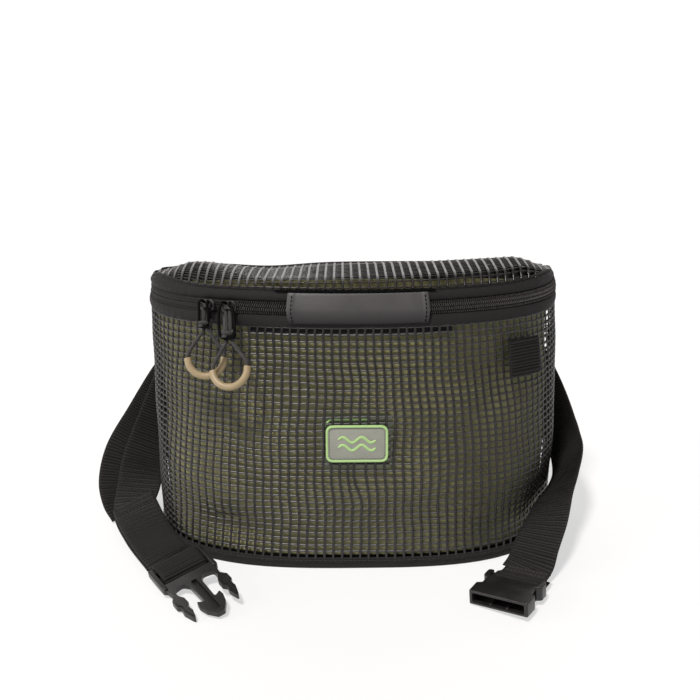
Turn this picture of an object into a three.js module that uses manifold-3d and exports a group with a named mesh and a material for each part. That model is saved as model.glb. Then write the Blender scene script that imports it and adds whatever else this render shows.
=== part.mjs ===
// Waist pouch: a net pouch with an olive liner, a zipped net lid and two waist straps with an open buckle.
// Millimetres, +Z up, the front faces -Y, the origin is on the floor under the middle of the base.
import * as THREE from 'three';
import { mergeVertices } from 'three/addons/utils/BufferGeometryUtils.js';
import Module from 'manifold-3d';

const wasm = await Module();
wasm.setup();

// Body: plan sections from the floor up. The front is a rounded curve that lies front mm before the
// widest line, and the top stands a little to the left.
const WIDEST_Y = 56;
const BACK_DEPTH = 18;
const BACK_POWER = 4;
const SECTIONS = [
  { z: 0, half: 172, front: 125, power: 3.0, shift: 0 },
  { z: 12, half: 172, front: 125, power: 3.0, shift: 0 },
  { z: 70, half: 173.5, front: 121, power: 2.8, shift: 0 },
  { z: 130, half: 173.5, front: 112, power: 2.55, shift: 0 },
  { z: 198, half: 172, front: 98, power: 2.35, shift: -1.6 },
  { z: 212, half: 172.5, front: 95, power: 2.3, shift: -2.2 },
  { z: 225, half: 168, front: 91, power: 2.25, shift: -2.2 },
];
// Soft hollows in the wall: where they are, how far they reach and how deep they go.
const DENTS = [
  { angle: -28, z: 30, reachAngle: 15, reachZ: 18, depth: 5 },
  { angle: 62, z: 34, reachAngle: 16, reachZ: 25, depth: 11 },
  { angle: 34, z: 165, reachAngle: 14, reachZ: 22, depth: 3 },
];

const GAP = 0.4;
const SEAM_ANGLE = 128;
const SIDE_ANGLE = 88;
const SIDE_DROP = { left: 5.5, right: 3.5 };
const BACK_DROP = 9;
const BASE_THICK = 3;
const BINDING_HEIGHT = 12;
const BINDING_THICK = 2;
const NET_THICK = 1.6;
const NET_BAR = 9;
const WALL_LENGTH = 560;
const WALL_COLUMNS = 16;
const WALL_ROWS = 5;
const LID_COLUMNS = 10;
const LID_ROWS = 4;
const LINER_INSET = 6;
const LINER_SIDE_INSET = 9;
const LINER_THICK = 1.2;
const LINER_TOP = 202;
const PANEL_THICK = 2;
const RING_SIDES = 64;
const BAND_STEPS = 48;

// Zip band heights above the floor.
const BAND_LOW = 198;
const CHAIN_LOW = 207;
const CHAIN_HIGH = 217;
const BAND_HIGH = 225;
const BAND_THICK = 1.8;
const CHAIN_INSET = 1;
const FLAP = { from: -14.7, to: 16, low: 199.5, high: 221.5, out: 2.6, thick: 1.6 };

// Lid profile from the front seam to the back edge: share of the depth and rise over the seam.
const LID_PROFILE = [
  { at: 0, rise: 0 },
  { at: 0.09, rise: 5.5 },
  { at: 0.18, rise: 5.8 },
  { at: 0.5, rise: 2.6 },
  { at: 0.68, rise: 0.2 },
  { at: 0.84, rise: -4.5 },
  { at: 1, rise: -BACK_DROP },
];
const LID_REACH = 0.985;

// Front fittings.
const BADGE = { width: 49, height: 30, corner: 6, thick: 2.4, z: 108, out: 0.6 };
const BACKING = { width: 57, height: 46, corner: 8, thick: 1, inset: 3 };
const TAB = { width: 31, height: 30, thick: 2, angle: 47.6, z: 166.5, out: 3.2 };

// Zip pulls: place on the zip, lean off the wall, sideways swing, turn of the grip, and the hitch's
// length and half width.
const PULLS = [
  { side: 'left', angle: -38.1, lean: 10.5, swing: 9.5, face: 25, loop: 20, loopHalf: 3.6 },
  { side: 'right', angle: -30.7, lean: 17, swing: 11.5, face: 0, loop: 28, loopHalf: 5.6 },
];
const HINGE_OUT = 5.6;
const CORD_RADIUS = 1.1;
const LEG_APART = 1.4;
const SLIDER = {
  length: 12, height: 9.2, corner: 2, thick: 2.5, back: 4.4, bridge: 5, bar: 2, barOut: 3, barHigh: 3,
};
const GRIP = { radius: 2.55, halfWidth: 14.2, drop: 21.5, depth: 14.5 };

// Straps: stations along each run, with the middles of the outer edge (o) and the inner edge (i).
const STRAP_WIDTH = 38;
const STRAP_THICK = 1.6;
const STRAPS = {
  left_strap: [
    { o: [-176, 78, 130], i: [-141, 79, 116] },
    { o: [-181, 76, 115], i: [-146, 78, 101] },
    { o: [-195, 71, 80], i: [-163, 74, 64] },
    { o: [-207, 57, 47], i: [-178, 54, 31] },
    { o: [-212, 36, 30], i: [-175, 28, 22] },
    { o: [-213, 4, 11], i: [-175, 14, 21] },
    { o: [-195, -36, 7], i: [-161, -18, 12] },
    { o: [-169, -78, 4], i: [-138, -56, 10] },
  ],
  left_strap_fold: [
    { o: [-176, 81, 128], i: [-144, 82, 107] },
    { o: [-183, 80, 120], i: [-151, 81, 99] },
    { o: [-207, 78, 82], i: [-176, 77, 61] },
    { o: [-227, 67, 49], i: [-195, 64, 31] },
    { o: [-232, 48, 27], i: [-196, 46, 14] },
    { o: [-225, 24, 13], i: [-190, 32, 6] },
    { o: [-216, 10, 4], i: [-183, 26, 4] },
  ],
  left_strap_tail: [
    { o: [-212.8, 0, 15.5], i: [-176.7, 13.5, 28] },
    { o: [-194, -37, 12], i: [-160, -20, 17] },
    { o: [-170, -77, 8.5], i: [-139, -55, 14.5] },
  ],
  right_strap: [
    { o: [176, 78, 128], i: [142, 79, 112] },
    { o: [187, 73, 106], i: [155, 79, 88] },
    { o: [198, 55, 79], i: [172, 71, 55] },
    { o: [199, 36, 70], i: [177, 48, 42] },
    { o: [195, 8, 66], i: [174, 20, 39] },
    { o: [186, -18, 58], i: [165, 0, 35] },
    { o: [178, -40, 49], i: [151, -20, 31] },
    { o: [170, -64, 36], i: [138, -44, 27] },
    { o: [160, -82, 22], i: [128, -62, 20] },
    { o: [156, -88, 11], i: [122, -72, 11] },
    { o: [149, -95, 6], i: [115, -83, 6] },
  ],
};
const STRAP_STEPS = 4;

// Buckle: both halves are given across, along and thick, and lie turned on the floor.
const MALE = { half: 24, frame: 30, thick: 5, rearBar: 7, slotEnd: 23, tip: 73, guide: 78 };
const MALE_PLACE = { at: [-147.4, -74.5, 12.1], turn: 215, pitch: -5, roll: 10 };
const FEMALE = { half: 24.5, length: 37, thick: 12, wall: 2, mouth: 26, notch: 9 };
const FEMALE_PLACE = { at: [125.5, -103.5, 2.4], turn: 147, pitch: 0.6, roll: 5 };

const CLOTH_BLACK = 0x2b2a2a;
const NET_BLACK = 0x3a3836;
const OLIVE = 0x5f5c45;
const MOULDED_BLACK = 0x343231;
const TAN = 0xc2b492;
const BADGE_GREEN = 0xa5cd7d;

const radians = THREE.MathUtils.degToRad;
const smooth = THREE.MathUtils.smoothstep;
const lerp = THREE.MathUtils.lerp;
const vector = (values) => new THREE.Vector3(...values);

// The row of a table at a key value, with every other column interpolated.
function rowAt(table, key, value) {
  const top = table.findIndex((row) => row[key] >= value);
  if (top <= 0) return top === 0 ? table[0] : table.at(-1);
  const [low, high] = [table[top - 1], table[top]];
  const share = (value - low[key]) / (high[key] - low[key]);
  return Object.fromEntries(Object.keys(low).map((name) => [name, lerp(low[name], high[name], share)]));
}

// The band sinks toward its two sides and further to the back corners, and the wall below follows it.
function bandDrop(angle, z) {
  const turn = Math.abs(angle);
  const side = (angle < 0 ? SIDE_DROP.left : SIDE_DROP.right) * smooth(turn, 15, SIDE_ANGLE);
  return lerp(side, BACK_DROP, smooth(turn, SIDE_ANGLE, SEAM_ANGLE)) * smooth(z, 90, BAND_LOW);
}

function dentDepth(angle, z) {
  const depths = DENTS.map((dent) => {
    const reach = ((angle - dent.angle) / dent.reachAngle) ** 2 + ((z - dent.z) / dent.reachZ) ** 2;
    return dent.depth * Math.exp(-reach);
  });
  return depths.reduce((sum, depth) => sum + depth, 0);
}

// A point of the body's outside, moved in by inset. The angle is 0 at the front and 90 at the right side.
function bodyPoint(angle, z, inset, sideInset = inset) {
  const plan = rowAt(SECTIONS, 'z', z);
  const sine = Math.sin(radians(angle));
  const cosine = Math.cos(radians(angle));
  const power = 2 / (cosine < 0 ? BACK_POWER : plan.power);
  const depth = cosine < 0 ? BACK_DEPTH - inset : inset - plan.front + dentDepth(angle, z);
  const x = (plan.half - sideInset - 0.5 * dentDepth(angle, z)) * Math.sign(sine) * Math.abs(sine) ** power;
  const y = WIDEST_Y + depth * Math.abs(cosine) ** power;
  return new THREE.Vector3(x + plan.shift, y, z - bandDrop(angle, z));
}

// Angles that cut the body's outline at one height into lengths in the given proportions.
function anglesByLength(z, from, to, shares) {
  const fine = 720;
  const angles = Array.from({ length: fine + 1 }, (_, k) => lerp(from, to, k / fine));
  const lengths = [0];
  for (let k = 1; k <= fine; k += 1) {
    const step = bodyPoint(angles[k], z, 0).distanceTo(bodyPoint(angles[k - 1], z, 0));
    lengths.push(lengths[k - 1] + step);
  }
  const whole = shares.reduce((sum, share) => sum + share, 0);
  let done = 0;
  return [0, ...shares].map((share) => {
    done += share;
    const target = (done / whole) * lengths[fine];
    return angles[lengths.findIndex((length) => length >= target - 1e-6)];
  });
}

const evenShares = (count) => Array(count).fill(1);

// Bars and gaps in turn along one side of a net, a bar at each end.
function netShares(gaps, length) {
  const gap = (length - NET_BAR * (gaps + 1)) / gaps;
  return Array.from({ length: 2 * gaps + 1 }, (_, k) => (k % 2 ? gap : NET_BAR));
}

function sums(shares, start) {
  const marks = [start];
  shares.forEach((share) => marks.push(marks.at(-1) + share));
  return marks;
}

const isGap = (column, row) => column % 2 === 1 && row % 2 === 1;

function solidGeometry(positions, triangles) {
  const geometry = new THREE.BufferGeometry();
  geometry.setAttribute('position', new THREE.Float32BufferAttribute(positions, 3));
  geometry.setIndex(triangles);
  geometry.computeVertexNormals();
  return geometry;
}

// A closed wall made of cells. corner(i, j, inner) gives the cell corners of the outer and the inner face,
// open(i, j) leaves a cell out, and a looped wall joins its last column to its first.
function cellWall({ columns, rows, corner, open = () => false, looped = false }) {
  const across = looped ? columns : columns + 1;
  const positions = [];
  for (const inner of [false, true]) {
    for (let j = 0; j <= rows; j += 1) {
      for (let i = 0; i < across; i += 1) positions.push(...corner(i, j, inner).toArray());
    }
  }
  const innerStart = across * (rows + 1);
  const outside = (i, j) => j * across + (i % across);
  const inside = (i, j) => innerStart + outside(i, j);
  const present = (i, j) => {
    if (j < 0 || j >= rows) return false;
    if (!looped && (i < 0 || i >= columns)) return false;
    return !open((i + columns) % columns, j);
  };
  const triangles = [];
  const quad = (a, b, c, d) => triangles.push(a, b, c, a, c, d);
  for (let j = 0; j < rows; j += 1) {
    for (let i = 0; i < columns; i += 1) {
      if (!present(i, j)) continue;
      const corners = [[i, j], [i + 1, j], [i + 1, j + 1], [i, j + 1]];
      const beside = [[i, j - 1], [i + 1, j], [i, j + 1], [i - 1, j]];
      quad(...corners.map((at) => outside(...at)));
      quad(...corners.toReversed().map((at) => inside(...at)));
      beside.forEach((next, k) => {
        if (present(...next)) return;
        const [from, to] = [corners[k], corners[(k + 1) % 4]];
        quad(outside(...from), inside(...from), inside(...to), outside(...to));
      });
    }
  }
  return solidGeometry(positions, triangles);
}

// A strip of the body's wall between two angles and a list of heights.
function bodyStrip({ angles, heights, inset, sideInset = inset, thick, open, looped }) {
  return cellWall({
    columns: looped ? angles.length : angles.length - 1,
    rows: heights.length - 1,
    corner: (i, j, inner) => {
      const depth = inner ? thick : 0;
      return bodyPoint(angles[i], heights[j], inset + depth, sideInset + depth);
    },
    open,
    looped,
  });
}

// A flat webbing run through its stations, each given by its two edges.
function webbing(stations) {
  const middles = stations.map(({ o, i }) => vector(o).add(vector(i)).multiplyScalar(0.5));
  const acrosses = stations.map(({ o, i }) => vector(i).sub(vector(o)).normalize());
  const path = new THREE.CatmullRomCurve3(middles);
  const turn = new THREE.CatmullRomCurve3(acrosses);
  const rows = (stations.length - 1) * STRAP_STEPS;
  return cellWall({
    columns: 1,
    rows,
    corner: (i, j, inner) => {
      const share = j / rows;
      const along = path.getTangent(share);
      const across = turn.getPoint(share);
      across.addScaledVector(along, -across.dot(along)).normalize();
      const normal = new THREE.Vector3().crossVectors(across, along);
      return path.getPoint(share)
        .addScaledVector(across, (i - 0.5) * STRAP_WIDTH)
        .addScaledVector(normal, (inner ? -0.5 : 0.5) * STRAP_THICK);
    },
  });
}

function tube(points, radius, sides, steps) {
  const circle = new THREE.Shape();
  for (let k = 0; k < sides; k += 1) {
    const turn = (2 * Math.PI * k) / sides;
    const move = k === 0 ? 'moveTo' : 'lineTo';
    circle[move](radius * Math.cos(turn), radius * Math.sin(turn));
  }
  const extrudePath = new THREE.CatmullRomCurve3(points);
  return new THREE.ExtrudeGeometry(circle, { steps, extrudePath });
}

function roundedRectangle(width, height, corner) {
  const [x, y] = [width / 2, height / 2];
  const shape = new THREE.Shape();
  shape.moveTo(-x + corner, -y);
  shape.lineTo(x - corner, -y);
  shape.absarc(x - corner, -y + corner, corner, -Math.PI / 2, 0);
  shape.lineTo(x, y - corner);
  shape.absarc(x - corner, y - corner, corner, 0, Math.PI / 2);
  shape.lineTo(-x + corner, y);
  shape.absarc(-x + corner, y - corner, corner, Math.PI / 2, Math.PI);
  shape.lineTo(-x, -y + corner);
  shape.absarc(-x + corner, -y + corner, corner, Math.PI, 1.5 * Math.PI);
  return shape;
}

function plate(shape, depth, curveSegments = 4) {
  return new THREE.ExtrudeGeometry(shape, { depth, bevelEnabled: false, curveSegments });
}

function outline(points) {
  return new THREE.Shape(points.map(([x, y]) => new THREE.Vector2(x, y)));
}

function toManifold(geometry) {
  const bare = geometry.clone();
  bare.deleteAttribute('normal');
  bare.deleteAttribute('uv');
  const merged = mergeVertices(bare, 1e-4);
  const vertProperties = new Float32Array(merged.attributes.position.array);
  const triVerts = new Uint32Array(merged.index.array);
  return new wasm.Manifold(new wasm.Mesh({ numProp: 3, vertProperties, triVerts }));
}

function fromManifold(solid) {
  const { vertProperties, triVerts } = solid.getMesh();
  return solidGeometry(Array.from(vertProperties), Array.from(triVerts));
}

const cloth = { roughness: 0.9, metalness: 0 };
const moulded = { roughness: 0.45, metalness: 0 };

function piece(name, geometry, color, finish) {
  const mesh = new THREE.Mesh(geometry, new THREE.MeshStandardMaterial({ color, ...finish }));
  mesh.name = name;
  return mesh;
}

// Body: base, wall, liner, back, band and lid.
function body() {
  const group = new THREE.Group();
  const all = anglesByLength(0, -180, 180, evenShares(RING_SIDES)).slice(0, -1);
  const floorShape = (z, inset, sideInset = inset) => outline(all.map((angle) => {
    const { x, y } = bodyPoint(angle, z, inset, sideInset);
    return [x, y];
  }));
  const basePanel = plate(floorShape(BASE_THICK, BINDING_THICK + GAP), BASE_THICK);
  group.add(piece('base_panel', basePanel, CLOTH_BLACK, cloth));
  const ring = { angles: all, looped: true };
  const binding = { ...ring, heights: [0, BINDING_HEIGHT], inset: 0, thick: BINDING_THICK };
  group.add(piece('base_binding', bodyStrip(binding), CLOTH_BLACK, cloth));

  const wallLow = BINDING_HEIGHT + GAP;
  const wallHigh = BAND_LOW - GAP;
  const net = {
    angles: anglesByLength(wallLow, -SEAM_ANGLE, SEAM_ANGLE, netShares(WALL_COLUMNS, WALL_LENGTH)),
    heights: sums(netShares(WALL_ROWS, wallHigh - wallLow), wallLow),
    inset: 0,
    thick: NET_THICK,
    open: isGap,
  };
  group.add(piece('mesh_wall', bodyStrip(net), NET_BLACK, moulded));

  const linerLow = BASE_THICK + GAP;
  const liner = {
    ...ring,
    heights: [linerLow, 30, 60, 100, 140, 170, LINER_TOP],
    inset: LINER_INSET,
    sideInset: LINER_SIDE_INSET,
    thick: LINER_THICK,
  };
  group.add(piece('liner', bodyStrip(liner), OLIVE, cloth));
  const within = LINER_THICK + 2 * GAP;
  const floorEdge = floorShape(linerLow + LINER_THICK, LINER_INSET + within, LINER_SIDE_INSET + within);
  const linerFloor = plate(floorEdge, LINER_THICK).translate(0, 0, linerLow);
  group.add(piece('liner_floor', linerFloor, OLIVE, cloth));

  const backAngles = anglesByLength(wallLow, SEAM_ANGLE + 1, 359 - SEAM_ANGLE, evenShares(6));
  const backHeights = [wallLow, 70, 130, BAND_LOW, BAND_HIGH];
  const back = { angles: backAngles, heights: backHeights, inset: 0, thick: PANEL_THICK };
  group.add(piece('back_panel', bodyStrip(back), CLOTH_BLACK, cloth));

  const bandAngles = anglesByLength(BAND_LOW, -SEAM_ANGLE, SEAM_ANGLE, evenShares(BAND_STEPS));
  const bands = [
    { name: 'zip_band_lower', heights: [BAND_LOW, CHAIN_LOW - GAP], inset: 0, thick: BAND_THICK },
    { name: 'zip_chain', heights: [CHAIN_LOW, CHAIN_HIGH], inset: CHAIN_INSET, thick: BAND_THICK },
    { name: 'zip_band_upper', heights: [CHAIN_HIGH + GAP, BAND_HIGH], inset: 0, thick: BAND_THICK },
  ];
  bands.forEach(({ name, ...strip }) => {
    group.add(piece(name, bodyStrip({ angles: bandAngles, ...strip }), CLOTH_BLACK, cloth));
  });
  const flap = {
    angles: anglesByLength(BAND_LOW, FLAP.from, FLAP.to, evenShares(10)),
    heights: [FLAP.low, lerp(FLAP.low, FLAP.high, 0.55), FLAP.high],
    inset: -FLAP.out,
    thick: FLAP.thick,
  };
  group.add(piece('zip_flap', bodyStrip(flap), CLOTH_BLACK, moulded));
  group.add(piece('lid_mesh', lid(), NET_BLACK, moulded));
  return group;
}

// Lid: straight net bars from the front seam to the back edge, over the profile.
function lid() {
  const seam = rowAt(SECTIONS, 'z', BAND_HIGH);
  const half = seam.half * LID_REACH;
  const marks = sums(netShares(LID_COLUMNS, 2 * half), -half);
  const depth = seam.front + BACK_DEPTH;
  const shares = sums(netShares(LID_ROWS, depth), 0).map((mark) => mark / depth);
  const edge = (x, deep, power) => deep * (1 - Math.abs(x / seam.half) ** power) ** (1 / power);
  return cellWall({
    columns: marks.length - 1,
    rows: shares.length - 1,
    corner: (i, j, inner) => {
      const x = marks[i];
      const front = WIDEST_Y - edge(x, seam.front, seam.power);
      const back = WIDEST_Y + edge(x, BACK_DEPTH, BACK_POWER);
      const end = smooth(Math.abs(x) / half, 0.8, 1);
      const angle = Math.sign(x) * Math.asin(Math.abs(x / seam.half) ** (seam.power / 2));
      const drop = bandDrop(THREE.MathUtils.radToDeg(angle), BAND_HIGH);
      const { rise } = rowAt(LID_PROFILE, 'at', shares[j]);
      const middle = rise - drop * (1 - shares[j]);
      const z = BAND_HIGH + 2 * GAP + NET_THICK + lerp(middle, Math.max(rise, 0) * 0.5 - drop, end);
      return new THREE.Vector3(x + seam.shift, lerp(front, back, shares[j]), z - (inner ? NET_THICK : 0));
    },
    open: isGap,
  });
}

// A group on the body's wall: its local X runs along the wall, -Y points out and Z up the slope.
function onWall(angle, z, out) {
  const step = 1;
  const along = bodyPoint(angle + step, z, 0).sub(bodyPoint(angle - step, z, 0)).normalize();
  const up = bodyPoint(angle, z + step, 0).sub(bodyPoint(angle, z - step, 0)).normalize();
  const inward = new THREE.Vector3().crossVectors(up, along).normalize();
  const group = new THREE.Group();
  up.crossVectors(along, inward);
  group.quaternion.setFromRotationMatrix(new THREE.Matrix4().makeBasis(along, inward, up));
  group.position.copy(bodyPoint(angle, z, 0)).addScaledVector(inward, -out);
  return group;
}

// A plate that stands upright in a wall group, its back at local y = 0.
function uprightPlate(name, shape, thick, color, finish) {
  const mesh = piece(name, plate(shape, thick), color, finish);
  mesh.rotation.x = Math.PI / 2;
  return mesh;
}

function badges() {
  const front = onWall(0, BADGE.z, BADGE.out);
  const face = roundedRectangle(BADGE.width, BADGE.height, BADGE.corner);
  front.add(uprightPlate('badge', face, BADGE.thick, BADGE_GREEN, moulded));
  const behind = onWall(0, BADGE.z, -BACKING.inset - BACKING.thick);
  const backing = roundedRectangle(BACKING.width, BACKING.height, BACKING.corner);
  behind.add(uprightPlate('badge_backing', backing, BACKING.thick, CLOTH_BLACK, cloth));
  return [front, behind];
}

function tab() {
  const place = onWall(TAB.angle, TAB.z, TAB.out);
  const shape = roundedRectangle(TAB.width, TAB.height, 1.5);
  place.add(uprightPlate('webbing_tab', shape, TAB.thick, CLOTH_BLACK, cloth));
  return place;
}

// Zip slider: a plate on the zip with a bridge over it that runs along the zip.
function slider() {
  const { length, height, corner, thick, back, bridge, bar, barOut, barHigh } = SLIDER;
  const body = plate(roundedRectangle(length, height, corner), thick);
  body.rotateX(Math.PI / 2).translate(0, back, 0);
  const root = back - thick + 0.2;
  const [outerSoft, innerHalf] = [1.4, bridge - 1.6];
  const arch = outline([
    [-bridge, root], [-bridge, outerSoft - barOut], [outerSoft - bridge, -barOut],
    [bridge - outerSoft, -barOut], [bridge, outerSoft - barOut], [bridge, root],
    [innerHalf, root], [innerHalf, bar - barOut], [-innerHalf, bar - barOut], [-innerHalf, root],
  ]);
  const crown = plate(arch, barHigh).translate(0, 0, -barHigh / 2);
  return fromManifold(toManifold(body).add(toManifold(crown)));
}

// Zip pull: a cord hitched over the slider's bridge, its two legs, and a bent tube grip on their ends.
function pull({ side, angle, lean, swing, face, loop, loopHalf }) {
  const group = onWall(angle, (CHAIN_LOW + CHAIN_HIGH) / 2, HINGE_OUT);
  group.add(piece(`zip_slider_${side}`, slider(), MOULDED_BLACK, moulded));
  const tilt = new THREE.Euler(-radians(lean), -radians(swing), 0);
  const hung = (x, y, z) => vector([x, y, z]).applyEuler(tilt);
  const turn = radians(face);
  const low = (x, z) => hung(x * Math.cos(turn), x * Math.sin(turn), z - loop);

  const behind = 0.45;
  const front = -SLIDER.barOut - CORD_RADIUS - GAP;
  const hitchSide = (sign) => [
    vector([sign * LEG_APART, behind, 1.7]),
    vector([sign * 1.9, -0.4, 3]),
    vector([sign * 2.6, -2, 3.4]),
    vector([sign * 3.2, front + 0.7, 2.9]),
    vector([sign * 3.5, front - 0.1, 1.2]),
    hung(sign * loopHalf, front + 0.3, -4),
    hung(sign * loopHalf, -3.3, 3 - loop),
    hung(sign * (loopHalf - 2), -2.6, -loop),
  ];
  const hitch = tube([...hitchSide(-1), ...hitchSide(1).toReversed()], CORD_RADIUS, 6, 36);
  group.add(piece(`pull_hitch_${side}`, hitch, CLOTH_BLACK, cloth));
  [['a', -1], ['b', 1]].forEach(([end, sign]) => {
    const points = [
      vector([sign * LEG_APART, behind, 0.2]),
      vector([sign * LEG_APART, behind, -2.2]),
      hung(sign * LEG_APART, 0.3, -8),
      hung(sign * LEG_APART, 0.2, 5 - loop),
      hung(sign * 2.2, 0.4, -loop),
      low(sign * 6, -6),
      low(sign * (GRIP.halfWidth - 1.4), 5 - GRIP.drop),
      low(sign * GRIP.halfWidth, 2 * GAP - GRIP.drop),
    ];
    group.add(piece(`pull_cord_${side}_${end}`, tube(points, CORD_RADIUS, 6, 16), CLOTH_BLACK, cloth));
  });
  const gripPoints = Array.from({ length: 9 }, (_, k) => {
    const round = (Math.PI * k) / 8;
    return low(-GRIP.halfWidth * Math.cos(round), -GRIP.drop - GRIP.depth * Math.sin(round));
  });
  group.add(piece(`pull_grip_${side}`, tube(gripPoints, GRIP.radius, 10, 16), TAN, moulded));
  return group;
}

function placed(mesh, { at, turn, pitch, roll }) {
  mesh.position.set(...at);
  mesh.rotation.set(radians(pitch), radians(roll), radians(turn), 'ZXY');
  return mesh;
}

// Male half: a two-slot frame, two sprung prongs and a guide with an arrow tip.
function maleBuckle() {
  const { half, frame, tip, guide, rearBar, slotEnd, thick } = MALE;
  const rightSide = [
    [half, 0], [half, frame - 2], [half - 2, frame], [half - 2.5, frame + 12], [half - 0.5, frame + 17],
    [half - 1, frame + 26], [half - 6, tip], [half - 9, frame + 28], [half - 8, frame + 18],
    [half - 5.5, frame + 14], [half - 5.5, frame], [8, frame], [5, frame + 5], [4.2, guide - 18],
    [10, guide - 15], [8, guide - 8], [3, guide],
  ];
  const leftSide = rightSide.map(([x, y]) => [-x, y]).toReversed();
  const shape = outline([...rightSide, ...leftSide]);
  const barWidth = 7;
  const middle = (rearBar + slotEnd) / 2;
  const slots = [[rearBar, middle - barWidth / 2], [middle + barWidth / 2, slotEnd]];
  slots.forEach(([low, high]) => {
    const hole = outline([[-half + 4, low], [-half + 4, high], [half - 4, high], [half - 4, low]]);
    shape.holes.push(hole);
  });
  const geometry = plate(shape, thick).translate(0, 0, -thick / 2);
  return placed(piece('male_buckle', geometry, MOULDED_BLACK, moulded), MALE_PLACE);
}

// Female half: a flat housing, open at the mouth, notched at both sides, with a bar for the strap.
function femaleBuckle() {
  const { half, length, thick, wall, mouth, notch } = FEMALE;
  const rightSide = [
    [half, 0], [half, 10], [half - 4, 12], [half - 4, 12 + notch], [half, 14 + notch], [half, length],
  ];
  const leftSide = rightSide.map(([x, y]) => [-x, y]).toReversed();
  const housing = toManifold(plate(outline([...rightSide, ...leftSide]), thick));
  const hollowHalf = half - wall - 1;
  const cavity = new THREE.BoxGeometry(2 * hollowHalf, mouth, thick - 2 * wall);
  cavity.translate(0, length - mouth / 2 + 1, thick / 2);
  const slot = new THREE.BoxGeometry(2 * half - 9, 4, 2 * thick);
  slot.translate(0, 6.5, thick / 2);
  const solid = housing.subtract(toManifold(cavity)).subtract(toManifold(slot));
  return placed(piece('female_buckle', fromManifold(solid), MOULDED_BLACK, moulded), FEMALE_PLACE);
}

const pouch = new THREE.Group();
pouch.add(body(), ...badges(), tab(), ...PULLS.map(pull), maleBuckle(), femaleBuckle());
Object.entries(STRAPS).forEach(([name, stations]) => {
  pouch.add(piece(name, webbing(stations), CLOTH_BLACK, cloth));
});

export default pouch;
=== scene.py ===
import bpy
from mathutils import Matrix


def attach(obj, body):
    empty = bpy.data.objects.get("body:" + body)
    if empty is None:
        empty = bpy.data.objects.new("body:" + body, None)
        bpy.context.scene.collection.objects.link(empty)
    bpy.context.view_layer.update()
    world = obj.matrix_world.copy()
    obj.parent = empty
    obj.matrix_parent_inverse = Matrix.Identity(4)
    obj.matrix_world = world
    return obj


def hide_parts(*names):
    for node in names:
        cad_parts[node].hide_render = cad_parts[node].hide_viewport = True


bl_info = {
    "name": "Waist pouch",
    "version": (1, 0, 0),
    "blender": (4, 5, 0),
    "location": "View3D > Sidebar > Pouch",
    "description": "Dresses the solids of a net waist pouch with net, cloth, webbing, cords and mouldings",
    "category": "Object",
}

import math

import bpy
import numpy as np
from mathutils import Matrix, Vector

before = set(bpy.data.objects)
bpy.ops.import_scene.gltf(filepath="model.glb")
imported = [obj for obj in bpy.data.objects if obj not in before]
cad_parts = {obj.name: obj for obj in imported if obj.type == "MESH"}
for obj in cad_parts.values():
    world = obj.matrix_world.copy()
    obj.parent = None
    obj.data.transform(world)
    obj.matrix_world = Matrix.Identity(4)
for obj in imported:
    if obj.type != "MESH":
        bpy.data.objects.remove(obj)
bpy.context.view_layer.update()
MM = 0.001

# Body of the pouch in millimetres, as in the part's source.
WIDEST_Y = 56.0
BACK_DEPTH = 18.0
BACK_POWER = 4.0
SECTION_Z = (0.0, 12.0, 70.0, 130.0, 198.0, 212.0, 225.0)
SECTION_HALF = (172.0, 172.0, 173.5, 173.5, 172.0, 172.5, 168.0)
SECTION_FRONT = (125.0, 125.0, 121.0, 112.0, 98.0, 95.0, 91.0)
SECTION_POWER = (3.0, 3.0, 2.8, 2.55, 2.35, 2.3, 2.25)
SECTION_SHIFT = (0.0, 0.0, 0.0, 0.0, -1.6, -2.2, -2.2)
# Soft hollows of the wall: angle, height, reach in angle, reach in height, depth.
DENTS = ((-28, 30, 15, 18, 5), (62, 34, 16, 25, 11), (34, 165, 14, 22, 3))
# A short level crease low on the left, which the net and the liner share, in the same columns.
CREASE = (-31, 38, 9, 8, 5.5)
# Where the slack net has sunk and where the liner hangs back from it, in the same columns.
SAGS = ((-30, 48, 13, 18, 2.4), (56, 55, 14, 24, 2.0))
HANGS = ((46, 125, 24, 65, 5.0), (-28, 30, 14, 25, 2.0))
SEAM_ANGLE = 128.0
SIDE_ANGLE = 88.0
SIDE_DROP = (5.5, 3.5)
BACK_DROP = 9.0
BINDING_HIGH = 12.0
BINDING_TOP = 9.8
BAND_LOW = 198.0
FLAP_LOW = 200.8
FLAP_HIGH = 224.4
FLAP_FLARE = 0.095
FLAP_SWELL = 2.3
CHAIN_LOW = 207.0
CHAIN_HIGH = 217.0
CHAIN_MIDDLE = (CHAIN_LOW + CHAIN_HIGH) / 2
BAND_HIGH = 225.0
LINER_TOP = 213.0
BADGE_LEVEL = 108.0
NET_MIDDLE = 0.9
# Level at which the net's pitch was measured, and its first upright and level strands.
NET_LEVEL = 142.0
NET_FIRST = -4.94
NET_ROW = 149.68
# Half thicknesses of the net's upright and level strands, and half width of a level strand.
UPRIGHT_THICK = 0.68
LEVEL_THICK = 0.46
LEVEL_HALF = 0.98
# Rise of the upper band's edge before the two ends of the lid, and its fall round them, left and right.
END_LIFT = (3.2, 1.6)
END_FALL = (5.0, 4.5)
# Share of that fall that is gone again at the back.
FALL_BACK = 0.4
# Soft hollow of the lid's back edge, left of the middle: place across, reach and depth.
EDGE_DIP = (-72.0, 36.0, 3.2)

# Lid from the front seam to the back edge: share of the depth and rise over the seam.
LID_SHARE = (0.0, 0.04, 0.09, 0.13, 0.18, 0.3, 0.5, 0.68, 0.84, 1.0)
LID_RISE = (0.0, 3.2, 5.4, 6.0, 5.7, 4.4, 2.6, 0.2, -4.5, -9.0)
# Its smooth left end, without the crease behind the seam.
LID_DOME = (0.0, 0.9, 2.0, 2.8, 3.6, 4.4, 3.4, 0.4, -4.5, -9.0)
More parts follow.
